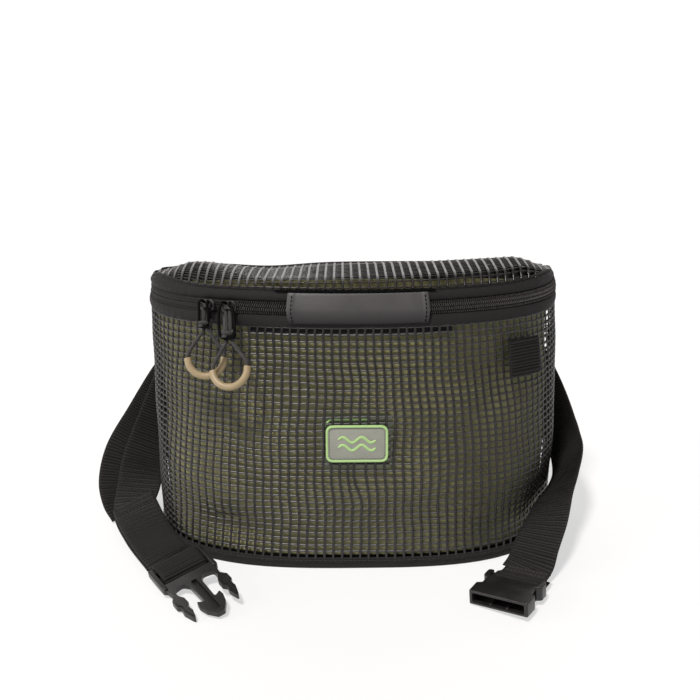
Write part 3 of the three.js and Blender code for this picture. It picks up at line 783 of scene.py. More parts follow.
def finish(key):
    """The pouch's materials, each made once and kept by name."""
    colours = bpy.context.scene.pouch_colours
    makers = {
        "net": ("PVC coated net", lambda: coated_net("PVC coated net", colours, 1.52, 0.42, 0.24)),
        "level": ("Pooled PVC on net", lambda: coated_net("Pooled PVC on net", colours, 1.6, 0.75, 0.4)),
        "olive": ("Olive woven nylon", lambda: olive_cloth(colours)),
        "cloth": ("Woven polyester", lambda: black_cloth(colours)),
        "back": ("Heavy woven polyester", back_cloth),
        "flap": ("PU coated cloth", lambda: coated_cloth(colours)),
        "webbing": ("Polypropylene webbing", lambda: webbing_cloth(colours)),
        "moulded": ("Moulded acetal", lambda: moulded_acetal(colours)),
        "zinc": ("Lacquered zinc", lacquered_zinc),
        "cord": ("Braided polyester cord", lambda: braided_cord(colours)),
        "grip": ("Extruded PVC tube", lambda: tan_tube(colours)),
        "rim": ("Green patch rubber",
                lambda: badge_rubber("Green patch rubber", tuple(colours.rim), linear("#a8c888"), 0.4)),
        "field": ("Grey patch rubber",
                  lambda: badge_rubber("Grey patch rubber", tuple(colours.field), linear("#93948a"), 0.42)),
        "patch": ("Smoke patch rubber",
                  lambda: badge_rubber("Smoke patch rubber", linear("#70755c"), linear("#82876d"), 0.4)),
        "thread": ("Bonded nylon thread", sewing_thread),
        "coil": ("Nylon coil", nylon_coil),
        "yarn": ("Black polyester yarn", black_yarn),
    }
    name, make = makers[key]
    return bpy.data.materials.get(name) or make()


def size_property(name, description, usual, least, most):
    return bpy.props.FloatProperty(
        name=name, description=description, default=usual * MM, min=least * MM, max=most * MM,
        subtype="DISTANCE", unit="LENGTH")


class PouchSizes(bpy.types.PropertyGroup):
    """Sizes of the net, cloth and webbing that a maker may change."""

    net_across: size_property("Net across", "Distance between upright net strands", 6.8, 4, 12)
    net_up: size_property("Net up", "Distance between level net strands", 5.36, 3, 12)
    net_strand: size_property("Net strand", "Width of an upright net strand", 2.1, 0.6, 3)
    liner_gap: size_property("Liner gap", "Distance of the liner behind the net at the front", 3.0, 2.5, 6)
    rib: size_property("Webbing rib", "Distance between the cross ribs of the webbing", 2.5, 1, 4)
    tooth: size_property("Zip tooth", "Distance between the turns of the zip's coil", 1.75, 1, 3)


def colour_property(name, description, code):
    return bpy.props.FloatVectorProperty(
        name=name, description=description, default=linear(code), size=4, min=0.0, max=1.0, subtype="COLOR")


class PouchColours(bpy.types.PropertyGroup):
    """Main colours of the pouch's materials."""

    net: colour_property("Net", "Coated net of the wall and lid", "#151312")
    liner: colour_property("Liner", "Olive cloth behind the net", "#7b7850")
    cloth: colour_property("Cloth", "Black cloth of the base, back and zip bands", "#121111")
    flap: colour_property("Flap", "Coated cloth of the zip flap", "#393738")
    webbing: colour_property("Webbing", "Webbing of the straps and the tab", "#161413")
    moulded: colour_property("Mouldings", "Plastic of the buckle halves", "#121111")
    cord: colour_property("Cord", "Cord of the zip pulls", "#201e1d")
    grip: colour_property("Grips", "Tubes of the zip pulls", "#8d7c5f")
    rim: colour_property("Badge rim", "Raised rim of the badge", "#97ba74")
    field: colour_property("Badge field", "Field of the badge", "#828379")
    floor: colour_property("Floor", "Studio floor", "#989898")


class POUCH_OT_stage(bpy.types.Operator):
    """Adds the camera of the photograph, the studio light and the pale floor"""

    bl_idname = "pouch.stage"
    bl_label = "Stage"

    def execute(self, context):
        scene = context.scene
        scene.view_settings.view_transform = "Standard"
        yaw, pitch, roll = (math.radians(a) for a in (CAMERA_YAW, CAMERA_PITCH, CAMERA_ROLL))
        ahead = Vector((math.sin(yaw) * math.cos(pitch), math.cos(yaw) * math.cos(pitch), -math.sin(pitch)))
        right = Vector((math.cos(yaw), -math.sin(yaw), 0.0))
        up = right.cross(ahead)
        across = math.cos(roll) * right + math.sin(roll) * up
        above = math.cos(roll) * up - math.sin(roll) * right
        turned = Matrix((across, above, -ahead)).transposed()
        bpy.ops.object.camera_add(location=CAMERA_PLACE, rotation=turned.to_euler())
        camera = context.object
        camera.data.lens = CAMERA_LENS
        camera.data.sensor_width = CAMERA_SENSOR
        camera.data.clip_start = 0.05
        scene.camera = camera

        world = bpy.data.worlds.new("Studio")
        world.use_nodes = True
        world.node_tree.nodes["Background"].inputs["Color"].default_value = WARM_WHITE
        world.node_tree.nodes["Background"].inputs["Strength"].default_value = WORLD_STRENGTH
        scene.world = world
        for name, way, spread, strength in LIGHTS:
            bpy.ops.object.light_add(type="SUN", location=-2.0 * Vector(way))
            light = context.object
            light.name = name
            light.data.energy = strength
            light.data.color = WARM_WHITE[:3]
            light.data.angle = math.radians(spread)
            light.rotation_euler = Vector(way).to_track_quat("-Z", "Y").to_euler()

        bpy.ops.mesh.primitive_plane_add(size=60.0)
        floor = context.object
        floor.name = "floor"
        # Opal acrylic table lit from below: the shadows on it stay pale.
        shade = tuple(scene.pouch_colours.floor)
        material, _, _ = new_material(
            "Opal acrylic table", Base_Color=shade, Roughness=0.9, Specular_IOR_Level=0.1,
            Emission_Color=(1.0, 1.0, 1.0, 1.0), Emission_Strength=0.58)
        floor.data.materials.append(material)
        return {"FINISHED"}


def pull_points(side):
    """Routes of a zip pull's hitch, legs, wound cord and grip in millimetres, its place and its tilt."""
    angle, lean, swing, face, loop, half = PULLS[side]
    place = wall_place(angle, CHAIN_MIDDLE, HINGE_OUT)
    tilt = Matrix.Rotation(math.radians(-lean), 3, "X") @ Matrix.Rotation(math.radians(-swing), 3, "Y")
    turn = math.radians(face)

    def hung(x, y, z):
        return tilt @ Vector((x, y, z))

    def low(x, z):
        return hung(x * math.cos(turn), x * math.sin(turn), z - loop)

    def hitch_side(sign):
        return [
            Vector((sign * LEG_APART, 0.45, 1.7)), Vector((sign * 1.9, -0.4, 3.0)),
            Vector((sign * 2.6, -2.0, 3.4)), Vector((sign * 3.2, -3.8, 2.9)), Vector((sign * 3.5, -4.6, 1.2)),
            hung(sign * half, -4.2, -4.0), hung(sign * half, -3.3, 5.0 - loop),
            hung(sign * (half - 2.0), -2.6, 2.2 - loop),
        ]

    def leg(sign):
        return [
            Vector((sign * LEG_APART, 0.45, 0.2)), Vector((sign * LEG_APART, 0.45, -2.2)),
            hung(sign * LEG_APART, 0.3, -8.0), hung(sign * LEG_APART, 0.2, 5.0 - loop),
            hung(sign * 2.2, 0.4, -loop), low(sign * 6.0, -6.0),
            low(sign * (GRIP_HALF - 1.4), 5.0 - GRIP_DROP), low(sign * GRIP_HALF, 0.8 - GRIP_DROP),
        ]

    bends = np.linspace(0.0, math.pi, 9)
    grip = [low(-GRIP_HALF * math.cos(t), -GRIP_DROP - GRIP_DEPTH * math.sin(t)) for t in bends]
    wrap = []
    for t in np.linspace(0.0, 3.5 * math.pi, 36):
        fall = 2.4 * t / (2 * math.pi)
        wrap.append(hung(4.0 * math.cos(t), -1.5 + 3.6 * math.sin(t), 7.4 - loop - fall))
    hitch = hitch_side(-1) + hitch_side(1)[::-1]
    routes = {"hitch": hitch, "a": leg(-1), "b": leg(1), "wrap": wrap, "grip": grip}
    routes = {key: placed(place, points) for key, points in routes.items()}
    return routes, place, tilt.to_4x4()


def round_tube(points, radius, step, corners):
    """Rings of one round tube along a smooth route through the points."""
    fine = curve_through(points, np.linspace(0.0, 1.0, 400))
    route, _ = spaced(fine, step)
    tangent = unit(np.gradient(route, axis=0))
    outs = np.empty_like(route)
    out = np.cross(tangent[0], [1.0, 0.0, 0.0])
    for k, t in enumerate(tangent):
        out = unit(out - t * (out @ t))
        outs[k] = out
    return strand_rings(route[None], outs[None], radius, radius, corners), route


class POUCH_OT_pull_cords(bpy.types.Operator):
    """Adds the cords of the two zip pulls: the hitch over each slider and its two legs"""

    bl_idname = "pouch.pull_cords"
    bl_label = "Pull cords"

    def execute(self, context):
        cord = finish("cord")
        for side in PULLS:
            routes, _, _ = pull_points(side)
            rings, _ = round_tube(routes["hitch"], 0.85 * CORD_RADIUS, 0.5, 14)
            tubes(f"hitch_{side}", rings, finish("yarn"), [f"pull_hitch_{side}"])
            rings, _ = round_tube(routes["wrap"], 0.95 * CORD_RADIUS, 0.6, 10)
            tubes(f"hitch_wrap_{side}", rings, cord)
            for end in "ab":
                rings, route = round_tube(routes[end], CORD_RADIUS, 0.5, 14)
                name = f"pull_cord_{side}_{end}"
                piece = tubes(f"cord_{side}_{end}", rings, cord, [name])
        return {"FINISHED"}


class POUCH_OT_pull_fittings(bpy.types.Operator):
    """Adds the zip sliders with their bridges and tabs, and the bent tan tubes on the cords' ends"""

    bl_idname = "pouch.pull_fittings"
    bl_label = "Sliders and grips"

    def execute(self, context):
        for side in PULLS:
            routes, place, tilt = pull_points(side)
            shield = [(-6, -3.4), (-4.6, -4.6), (3.4, -4.6), (6, -2.4),
                      (6, 2.4), (3.4, 4.6), (-4.6, 4.6), (-6, 3.4)]
            slider = prism(f"slider_{side}", fillet(shield, 1.0), 0.0, 2.5)
            soften(slider, 0.7, 3)
            slider.data.transform(Matrix.Translation((0.0, 4.4, 0.0)) @ STAND)
            arch = fillet([(-5, 2.3), (-5, -3), (5, -3), (5, 2.3)], (0.1, 2.4, 2.4, 0.1))
            inner = fillet([(3.4, 2.3), (3.4, -1), (-3.4, -1), (-3.4, 2.3)], (0.1, 1.2, 1.2, 0.1))
            crown = prism("crown", arch + inner, -1.5, 1.5)
            soften(crown, 0.5, 2, 50.0)
            carve(slider, crown, "UNION")
            settle(slider, place, finish("zinc"), [f"zip_slider_{side}"])
            # The slider's own flat tab, which the cord is hitched over.
            long, half = PULLS[side][4:]
            tab = prism(f"slider_tab_{side}", rounded_box(2.0 * half - 0.6, long - 6.0, 2.0), -0.5, 0.5)
            soften(tab, 0.3, 2)
            tab.data.transform(Matrix.Translation((0.0, 2.6, -1.0 - long / 2)) @ STAND)
            settle(tab, place @ tilt, finish("moulded"))

            rings, route = round_tube(routes["grip"], GRIP_RADIUS, 0.7, 22)
            # Each open end shows the tube's wall: the end rings turn in round the cord's hole.
            middles = rings.mean(2, keepdims=True)
            shares = (0.5, 0.56, 0.94)
            lip = [middles[:, :1] + (rings[:, :1] - middles[:, :1]) * share for share in shares]
            tail = [middles[:, -1:] + (rings[:, -1:] - middles[:, -1:]) * share for share in shares[::-1]]
            lip[0] = lip[0] + (route[3] - route[0]) * 0.9
            tail[-1] = tail[-1] + (route[-4] - route[-1]) * 0.9
            rings = np.concatenate([*lip, rings, *tail], 1)
            tubes(f"grip_{side}", rings, finish("grip"), [f"pull_grip_{side}"], sharp=50.0)
        return {"FINISHED"}


class POUCH_OT_net_wall(bpy.types.Operator):
    """Adds the coated net of the wall: upright strands over level ones"""

    bl_idname = "pouch.net_wall"
    bl_label = "Net wall"

    def execute(self, context):
        sizes = context.scene.pouch_sizes
        across, rise, wide = sizes.net_across / MM, sizes.net_up / MM, sizes.net_strand / MM / 2
        low, high = BINDING_TOP - 1.0, BAND_LOW + 1.0
        row_start = NET_ROW - rise * math.floor((NET_ROW - BINDING_TOP - 1.5) / rise)
        rows = np.arange(row_start, high - 1.0, rise)

        # Upright strands, wider and a little thicker at each knot.
        z = np.unique(np.concatenate([[low], rows, rows[:-1] + rise / 3, rows[:-1] + 2 * rise / 3, [high]]))
        grid_a = strand_angles(z, across).T
        grid_a, grid_z = drift(grid_a, np.broadcast_to(z, grid_a.shape))
        knot = np.exp(-((np.min(np.abs(z[:, None] - rows), 1) / 1.0) ** 2))[None, :]
        outs = outward(grid_a, grid_z)
        centres = wall(grid_a, grid_z, NET_MIDDLE) + outs * (slack(grid_a, grid_z) + 0.25)[..., None]
        rings = strand_rings(centres, outs, wide * (0.97 + 0.42 * knot), UPRIGHT_THICK + 0.14 * knot, 6)
        tubes("net_wall_upright", rings, finish("net"), ["mesh_wall"], sharp=80.0)

        # Level strands, bowed forward between the upright ones and turned up unevenly along each cell.
        steps = 4
        grid = strand_angles(rows, across)
        spots = np.arange((grid.shape[1] - 1) * steps + 1) / steps
        grid_a = np.array([np.interp(spots, np.arange(grid.shape[1]), row) for row in grid])
        grid_a, grid_z = drift(grid_a, np.broadcast_to(rows[:, None], grid_a.shape))
        bow = np.abs(np.sin(np.pi * spots))[None]
        sag = -0.25 * bow * (1.0 + 0.6 * np.sin(5.1 * grid_z + 0.8 * grid_a))
        outs = outward(grid_a, grid_z)
        raised = slack(grid_a, grid_z) + 0.3 * bow - 0.1
        centres = wall(grid_a, grid_z + sag, NET_MIDDLE) + outs * raised[..., None]
        turned = 0.85 + 0.35 * np.sin(2 * np.pi * spots + 1.0)[None]
        turned = turned + 0.25 * np.sin(3.7 * grid_z + 1.9 * np.round(spots))
        facing = unit(outs + turned[..., None] * np.array([0.0, 0.0, 1.0]))
        rings = strand_rings(centres, facing, LEVEL_HALF + 0.45 * (1.0 - bow), LEVEL_THICK, 6)
        tubes("net_wall_level", rings, finish("level"), sharp=80.0)
        return {"FINISHED"}


class POUCH_OT_liner(bpy.types.Operator):
    """Adds the olive bag behind the net and a black strip inside its mouth, a painted shadow of the flap and
    sliders
    """

    bl_idname = "pouch.liner"
    bl_label = "Liner"

    def execute(self, context):
        gap = context.scene.pouch_sizes.liner_gap / MM
        angles = even_angles(60.0, -180.0, 180.0, 241)[:-1]
        z = np.concatenate([np.linspace(3.6, 14.0, 4), np.linspace(22.0, LINER_TOP, 26)])
        grid_a, grid_z = np.meshgrid(angles, z, indexing="ij")
        folds = 0.9 * np.sin(0.17 * grid_a + 0.02 * grid_z) * np.sin(0.031 * grid_z + 0.6)
        hang = sum(hollow(grid_a, grid_z, row) for row in (*HANGS, CREASE))
        inset = gap + folds + hang + 0.8
        # At the sides the liner hangs further in, less so high on the left.
        side = np.maximum(inset, 8.6 - 4.2 * (grid_a < 0) * smooth_step(grid_z, 110.0, 170.0))
        outer = wall(grid_a, grid_z, inset, side)
        inner = wall(grid_a, grid_z, inset + 1.0, side + 1.0)
        rings = np.concatenate([outer, inner[:, ::-1]], 1)
        bag = tubes("liner_bag", rings[None], finish("olive"), ["liner"], looped=True)

        edge = wall(angles, 4.6, gap + 4.0, 10.6)[:, :2]
        floor = prism("liner_floor_cloth", [tuple(p) for p in edge], 3.6, 4.6)
        settle(floor, Matrix.Identity(4), finish("olive"), ["liner_floor"])

        # A black cloth strip behind the top of the net, only across the flap and the sliders: painted shadow
        # of the flap.
        across = even_angles(190.0, -25.0, 23.0, 81)
        z, depth = strip_profile(190.6, 200.0, 0.9)
        rings = wall(across[:, None], z[None], 2.4 + depth[None])
        tubes("liner_hem_flap_shadow", rings[None], finish("cloth"))
        return {"FINISHED"}


class POUCH_OT_base(bpy.types.Operator):
    """Adds the base panel and the cloth binding sewn round its edge"""

    bl_idname = "pouch.base"
    bl_label = "Base"

    def execute(self, context):
        angles = even_angles(6.0, -180.0, 180.0, 301)[:-1]
        edge = wall(angles, 3.0, 2.3)[:, :2]
        panel = prism("base_cloth", [tuple(p) for p in edge], 0.0, 3.0)
        soften(panel, 0.4, 2)
        settle(panel, Matrix.Identity(4), finish("cloth"), ["base_panel"])

        z, depth = strip_profile(0.0, BINDING_TOP, 2.0, 0.3, 12)
        # A crease along the middle where the folded tape turns under, and puckers round the edge.
        crease = 0.7 * np.exp(-(((z - 4.4) / 0.8) ** 2)) * (depth < 1.0)
        pucker = 0.3 * np.sin(0.9 * angles) + 0.22 * np.sin(2.3 * angles + 1.0)
        waves = pucker[:, None] * np.sin(np.pi * z / BINDING_TOP)[None]
        rings = wall(angles[:, None], z[None], (depth + crease)[None] + waves)
        tubes("binding", rings[None], finish("cloth"), ["base_binding"], looped=True)
        round_angles = np.append(angles, angles[0])
        path, outs = wall(round_angles, 7.6, -0.2), outward(round_angles, 7.6)
        stitches("binding_stitches", path, outs, finish("thread"))
        # A deep black strip between the lowest strand and the binding: painted shade where the net runs in
        # behind the binding.
        z, depth = strip_profile(BINDING_TOP - 2.0, BINDING_TOP + 1.4, 1.0)
        rings = wall(angles[:, None], z[None], 2.3 + depth[None])
        tubes("net_hem_shade", rings[None], finish("yarn"), looped=True)
        return {"FINISHED"}


class POUCH_OT_back(bpy.types.Operator):
    """Adds the cloth back panel, a little bowed, with taped side seams and stitching"""

    bl_idname = "pouch.back"
    bl_label = "Back panel"

    def execute(self, context):
        angles = even_angles(60.0, SEAM_ANGLE + 1.0, 359.0 - SEAM_ANGLE, 121)
        low, high = BINDING_HIGH + 0.4, BAND_HIGH

        def bow(x, z):
            """How far the panel stands out behind its edges, with soft wrinkles."""
            up = np.clip((z - low) / (high - low), 0.0, 1.0)
            free = np.cos(np.pi * np.clip(x / 310.0, -0.5, 0.5)) * np.sin(np.pi * up)
            wrinkles = 1.5 * np.sin(0.045 * x + 0.014 * z) + 1.2 * np.sin(0.025 * x - 0.06 * z + 1.0)
            return 1.8 * np.sqrt(free.clip(0.0)) + wrinkles * free

        z, depth = strip_profile(low, high, 2.0, 0.0, 44)
        rings = wall(angles[:, None], z[None], depth[None])
        rings[..., 1] += np.where(depth < 1.0, bow(rings[..., 0], z[None]), 0.0)
        rings[..., 2] -= back_fall(rings[..., 0], z[None])
        panel = tubes("back_cloth", rings[None], finish("back"), ["back_panel"])
        for name, row in (("low", low + 5.0), ("high", high - 5.0)):
            path = wall(angles[4:-4], row, -0.1)
            path[:, 1] += bow(path[:, 0], row)
            path[:, 2] -= back_fall(path[:, 0], row)
            stitches(f"back_stitches_{name}", path, (0.0, 1.0, 0.0), finish("thread"))

        # Tapes sewn over the seams between the net and the panel.
        rows = np.linspace(BINDING_TOP - 1.0, BAND_HIGH - 0.6, 80)
        spots = np.linspace(SEAM_ANGLE - 4.5, SEAM_ANGLE + 5.0, 8)
        depth = np.concatenate([[-0.5], np.full(6, -1.3), [-0.5], np.full(8, 0.4)])
        for name, sign in (("left", -1.0), ("right", 1.0)):
            rings = wall(sign * np.concatenate([spots, spots[::-1]])[None], rows[:, None], depth[None])
            rings[..., 2] -= back_fall(rings[..., 0], rows[:, None])
            tubes(f"seam_tape_{name}", rings[None], finish("webbing"))
            for k, turn in enumerate((-3.2, 3.7)):
                angle = np.full(len(rows), sign * (SEAM_ANGLE + turn))
                path = wall(angle, rows, -1.4)
                path[:, 2] -= back_fall(path[:, 0], rows)
                outs = outward(angle, rows)
                stitches(f"seam_stitches_{name}_{k}", path, outs, finish("thread"), slot="webbing")
        return {"FINISHED"}


class POUCH_OT_zip(bpy.types.Operator):
    """Adds the zip: its two cloth bands, the tapes, the coil and the rolled seam of the lid"""

    bl_idname = "pouch.zip"
    bl_label = "Zip"

    def execute(self, context):
        tooth = context.scene.pouch_sizes.tooth / MM
        angles = even_angles(BAND_LOW, -SEAM_ANGLE, SEAM_ANGLE, 241)
        for name, low, high, crown in (("zip_band_lower", BAND_LOW - 0.6, CHAIN_LOW - 0.4, 0.7),
                                       ("zip_band_upper", CHAIN_HIGH + 0.4, BAND_HIGH, 0.9)):
            z, depth = strip_profile(low, high, 1.8, crown, 9)
            ripple = 0.18 * np.sin(0.55 * angles + 0.02 * angles ** 2)[:, None]
            edge = np.where(high == BAND_HIGH, end_lift(angles), 0.0)
            lift = edge[:, None] * ((z - low) / (high - low))[None]
            rings = wall(angles[:, None], z[None] + lift, depth[None] + ripple)
            tubes(f"{name}_cloth", rings[None], finish("cloth"), [name])

        # Tapes: two strips that meet under the coil, each with a raised cord edge.
        for k, (low, high, cord) in enumerate(((CHAIN_LOW - 2.0, CHAIN_MIDDLE - 0.2, CHAIN_MIDDLE - 2.8),
                                               (CHAIN_MIDDLE + 0.2, CHAIN_HIGH + 2.0, CHAIN_MIDDLE + 2.8))):
            z, depth = strip_profile(low, high, 1.2, 0.0, 13)
            ridge = 0.7 * np.exp(-(((z - cord) / 0.55) ** 2)) * (depth < 0.6)
            rings = wall(angles[:, None], z[None], 1.5 + depth[None] - ridge[None])
            tubes(f"zip_tape_{k}", rings[None], finish("cloth"), ["zip_chain"] if k == 0 else ())

        # Coil: two rows of turns that hook into each other right of the sliders, between two stitch rows.
        first, last = -29.0, 104.0
        # A deep black bed under the turns: the zip's tape, darkened as painted shade between the turns.
        z, depth = strip_profile(CHAIN_LOW, CHAIN_HIGH, 0.8, 0.0, 4)
        bed = wall(even_angles(CHAIN_MIDDLE, first, last, 201)[:, None], z[None], 1.1 + depth[None])
        tubes("coil_bed_and_shade", bed[None], finish("yarn"))
        fine = even_angles(CHAIN_MIDDLE, first, last, 1201)
        run = run_along(wall(fine, CHAIN_MIDDLE))
        # Height of each row over the middle from its lower to its upper end, shift in teeth and half width.
        turns = {
            "coil_lower": (-2.5, -0.3, 0.0, 0.46), "coil_upper": (0.3, 2.5, 0.5, 0.46),
            "coil_seam_lower": (-4.6, -3.4, 0.25, 0.36), "coil_seam_upper": (3.4, 4.6, 0.75, 0.36),
        }
        for name, (low, high, shift, half) in turns.items():
            spots = np.arange(shift * tooth, run[-1], tooth)
            places = np.interp(spots, run, fine)[:, None]
            z = CHAIN_MIDDLE + np.linspace(low, high, 5)[None]
            proud = np.array([0.8, 0.1, -0.2, 0.1, 0.8])[None]
            centres = wall(places, z, proud)
            outs = outward(np.broadcast_to(places, centres.shape[:2]), np.broadcast_to(z, centres.shape[:2]))
            tubes(name, strand_rings(centres, outs, half, 0.5, 5), finish("coil"))

        # The lid's seam: a thin rolled edge of cloth on the upper band.
        centres = wall(angles, BAND_HIGH + 0.6 + end_lift(angles), 1.0)
        rings, _ = round_tube(centres, 1.15, 1.6, 8)
        tubes("lid_piping", rings, finish("cloth"))
        return {"FINISHED"}


class POUCH_OT_flap(bpy.types.Operator):
    """Adds the coated flap over the middle of the zip, with its folded ends and stitch lines"""

    bl_idname = "pouch.flap"
    bl_label = "Zip flap"

    def execute(self, context):
        angles = even_angles(BAND_LOW, -13.6, 15.8, 121)
        z, depth = strip_profile(FLAP_LOW, FLAP_HIGH, 1.6, 0.0, 16)
        share = np.linspace(0.0, 1.0, len(angles))[:, None]
        fold = 0.5 * (smooth_step(share, 0.0, 0.012) - smooth_step(share, 0.045, 0.052))
        fold = fold + 0.5 * (smooth_step(1.0 - share, 0.0, 0.01) - smooth_step(1.0 - share, 0.036, 0.042))
        # The cloth stands off the coil most above the middle and turns in to its lower edge.
        up = ((z - FLAP_LOW) / (FLAP_HIGH - FLAP_LOW))[None]
        swell = FLAP_SWELL * np.sin(np.pi * up ** 0.7) + 0.3 * np.sin(7.0 * share + 0.4) * np.sin(np.pi * up)
        rings = wall(angles[:, None] * (1.0 + FLAP_FLARE * up), z[None], depth[None] - 1.6 - fold - swell)
        cover = tubes("flap_cloth", rings[None], finish("flap"), ["zip_flap"])
        for name, angle in (("flap_stitches_left", -12.5), ("flap_stitches_right", 14.9)):
            rows = np.linspace(FLAP_LOW + 1.2, FLAP_HIGH - 1.2, 60)
            up = (rows - FLAP_LOW) / (FLAP_HIGH - FLAP_LOW)
            path = wall(angle * (1.0 + FLAP_FLARE * up), rows, -2.2 - FLAP_SWELL * np.sin(np.pi * up ** 0.7))
            outs = outward(np.full(len(rows), angle), rows)
            stitches(name, path, outs, finish("yarn"), 2.2, 3.2, 0.45, "coated_cloth")

        # The turned edge of the lid's seam over the flap: thin, ragged along its top and tapered to its ends.
        # Its deep black yarn is partly painted shade, the dark gap between the flap's top and the lid.
        across = even_angles(BAND_LOW, -18.5, 19.5, 321)
        low, middle, high = 223.9, 225.4, 226.9
        z, depth = strip_profile(low, high, 1.6, 0.4, 5)
        ragged = 0.5 * np.sin(5.3 * across) + 0.4 * np.sin(11.7 * across + 1.0) + 0.3 * np.sin(19.1 * across)
        taper = (smooth_step(across, -18.6, -13.0) * (1.0 - smooth_step(across, 15.0, 19.6)))[:, None]
        heights = middle + (z - middle)[None] * (0.35 + 0.65 * taper)
        heights = heights + 0.55 * ragged[:, None] * (z > middle)[None]
        rings = wall(across[:, None], heights, depth[None] - 1.5 - 0.3 * ragged[:, None])
        tubes("flap_seam_and_shade", rings[None], finish("yarn"))
        return {"FINISHED"}


class POUCH_OT_lid(bpy.types.Operator):
    """Adds the net of the lid and the hem along its back edge"""

    bl_idname = "pouch.lid"
    bl_label = "Lid"

    def execute(self, context):
        sizes = context.scene.pouch_sizes
        across, rise, wide = sizes.net_across / MM, sizes.net_up / MM, sizes.net_strand / MM / 2
        columns = np.arange(-24, 25) * across - 1.4
        columns = columns[np.abs(columns) < LID_HALF]
        deep = SECTION_FRONT[-1] + BACK_DEPTH
        rows = np.linspace(0.015, 0.985, int(deep / rise))

        def outs_at(x, share):
            side = lid(x + 1.0, share) - lid(x - 1.0, share)
            back = lid(x, np.minimum(share + 0.01, 1.0)) - lid(x, np.maximum(share - 0.01, 0.0))
            return unit(np.cross(side, back))

        shares = np.linspace(0.0, 1.0, (len(rows) - 1) * 3 + 1)
        grid_x, grid_s = np.meshgrid(columns, shares, indexing="ij")
        outs = outs_at(grid_x, grid_s)
        centres = lid(grid_x, grid_s) + outs * 0.3
        rings = strand_rings(centres, outs, wide * 1.05, UPRIGHT_THICK, 6)
        tubes("net_lid_lengthwise", rings, finish("net"), ["lid_mesh"], sharp=80.0)

        steps = 4
        fine = np.linspace(-LID_HALF - 1.0, LID_HALF + 1.0, (len(columns) + 1) * steps + 1)
        between = np.abs(np.sin(np.pi * (fine - columns[0]) / across))
        grid_s, grid_x = np.meshgrid(rows, fine, indexing="ij")
        outs = outs_at(grid_x, grid_s)
        centres = lid(grid_x, grid_s) + outs * (0.2 * between[None, :] - 0.5)[..., None]
        rings = strand_rings(centres, outs, 0.66, 0.55, 6)
        tubes("net_lid_crosswise", rings, finish("net"), sharp=80.0)

        x = np.linspace(1.0 - LID_HALF, LID_HALF - 1.0, 121)
        rings, _ = round_tube(lid(x, 1.0), 1.5, 2.0, 8)
        tubes("lid_hem", rings, finish("cloth"))
        return {"FINISHED"}


class POUCH_OT_badge(bpy.types.Operator):
    """Adds the rubber badge with its raised rim, plain waves and stitches, and the patch behind the net"""

    bl_idname = "pouch.badge"
    bl_label = "Badge"

    def execute(self, context):
        front = wall_place(0.0, BADGE_LEVEL, 0.6) @ STAND
        field = prism("badge_field", rounded_box(48.0, 29.0, 5.6, 8), 0.0, 1.7)
        soften(field, 0.3, 2)
        settle(field, front, finish("field"), ["badge"])
        rim = prism("badge_rim", rounded_box(49.0, 30.0, 6.0, 8), 0.2, 2.4)
        carve(rim, prism("hole", rounded_box(45.4, 26.4, 4.4, 8), -1.0, 4.0))
        soften(rim, 0.5, 3)
        settle(rim, front, finish("rim"))

        # Plain waves, as a piece of decoration on the field.
        x = np.linspace(-15.0, 15.0, 61)
        for k, y in enumerate((3.2, -3.2)):
            line = np.stack([x, y + 2.2 * np.sin(2 * np.pi * x / 15.0), np.full_like(x, 1.75)], -1)
            ends = np.clip(np.minimum(x + 15.0, 15.0 - x) / 1.2, 0.25, 1.0)
            rings = strand_rings(line[None], (0.0, 0.0, 1.0), 1.15 * ends[None], 0.5, 10)
            rings = np.array([[placed(front, ring) for ring in tube] for tube in rings])
            tubes(f"badge_wave_{k}", rings, finish("rim"))
        seam = rounded_box(43.6, 24.6, 3.8, 8)
        path = placed(front, [(px, py, 1.72) for px, py in seam + seam[:1]])
        stitches("badge_stitches", path, front.col[2][:3], finish("thread"), 1.3, 2.2, 0.2, "badge_rubber")

        behind = wall_place(0.0, BADGE_LEVEL, -4.0) @ STAND
        patch = prism("badge_patch", rounded_box(57.0, 46.0, 8.0, 6), 0.0, 1.0)
        soften(patch, 0.3, 2)
        settle(patch, behind, finish("patch"), ["badge_backing"])
        # A green line of the patch's own rim, bare along its top.
        along = np.linspace(-25.0, 10.0, 40)
        path = placed(behind, [(px, 18.8 - 0.22 * max(0.0, -20.0 - px) ** 2, 1.8) for px in along])
        rings = strand_rings(path[None], behind.col[2][:3], 1.1, 0.7, 8)
        tubes("badge_patch_rim", rings, finish("rim"))
        return {"FINISHED"}


def webbing(name, middles, acrosses, nodes=(), hem=0.0, step=0.5, half=STRAP_HALF):
    """A run of ribbed webbing through station middles and across vectors, with an optional doubled end."""
    rib = bpy.context.scene.pouch_sizes.rib / MM
    shares = np.linspace(0.0, 1.0, 2000)
    fine = curve_through(middles, shares)
    turn = curve_through(acrosses, shares)
    run = run_along(fine)
    spots = np.arange(0.0, run[-1] + step / 2, step)
    route = at_spots(spots, run, fine)
    across = at_spots(spots, run, turn)
    tangent = unit(np.gradient(route, axis=0))
    across = unit(across - tangent * (across * tangent).sum(1, keepdims=True))
    normal = np.cross(across, tangent)
    ribs = RIB_HIGH * np.sin(2 * np.pi * spots / rib)
    thick = STRAP_THICK / 2 * (1.0 + 0.8 * (spots < hem))
    edge = STRAP_THICK / 2
    u = np.linspace(-half + edge, half - edge, 13)
    arc = np.linspace(0.0, np.pi, 5)[1:-1]
    flat = np.concatenate([u, half - edge + edge * np.sin(arc), u[::-1], -half + edge - edge * np.sin(arc)])
    up = np.concatenate([np.ones(len(u)), np.cos(arc), -np.ones(len(u)), -np.cos(arc)])
    # The ribs are lower along the two selvedges.
    selvedge = np.where(np.abs(flat) > half - 2.4, 0.55, 1.0)
    lift = up[None] * (thick[:, None] + ribs[:, None] * selvedge[None])
    rings = route[:, None] + across[:, None] * flat[None, :, None] + normal[:, None] * lift[..., None]
    tubes(name, rings[None], finish("webbing"), nodes, sharp=70.0)
    return route, across, normal


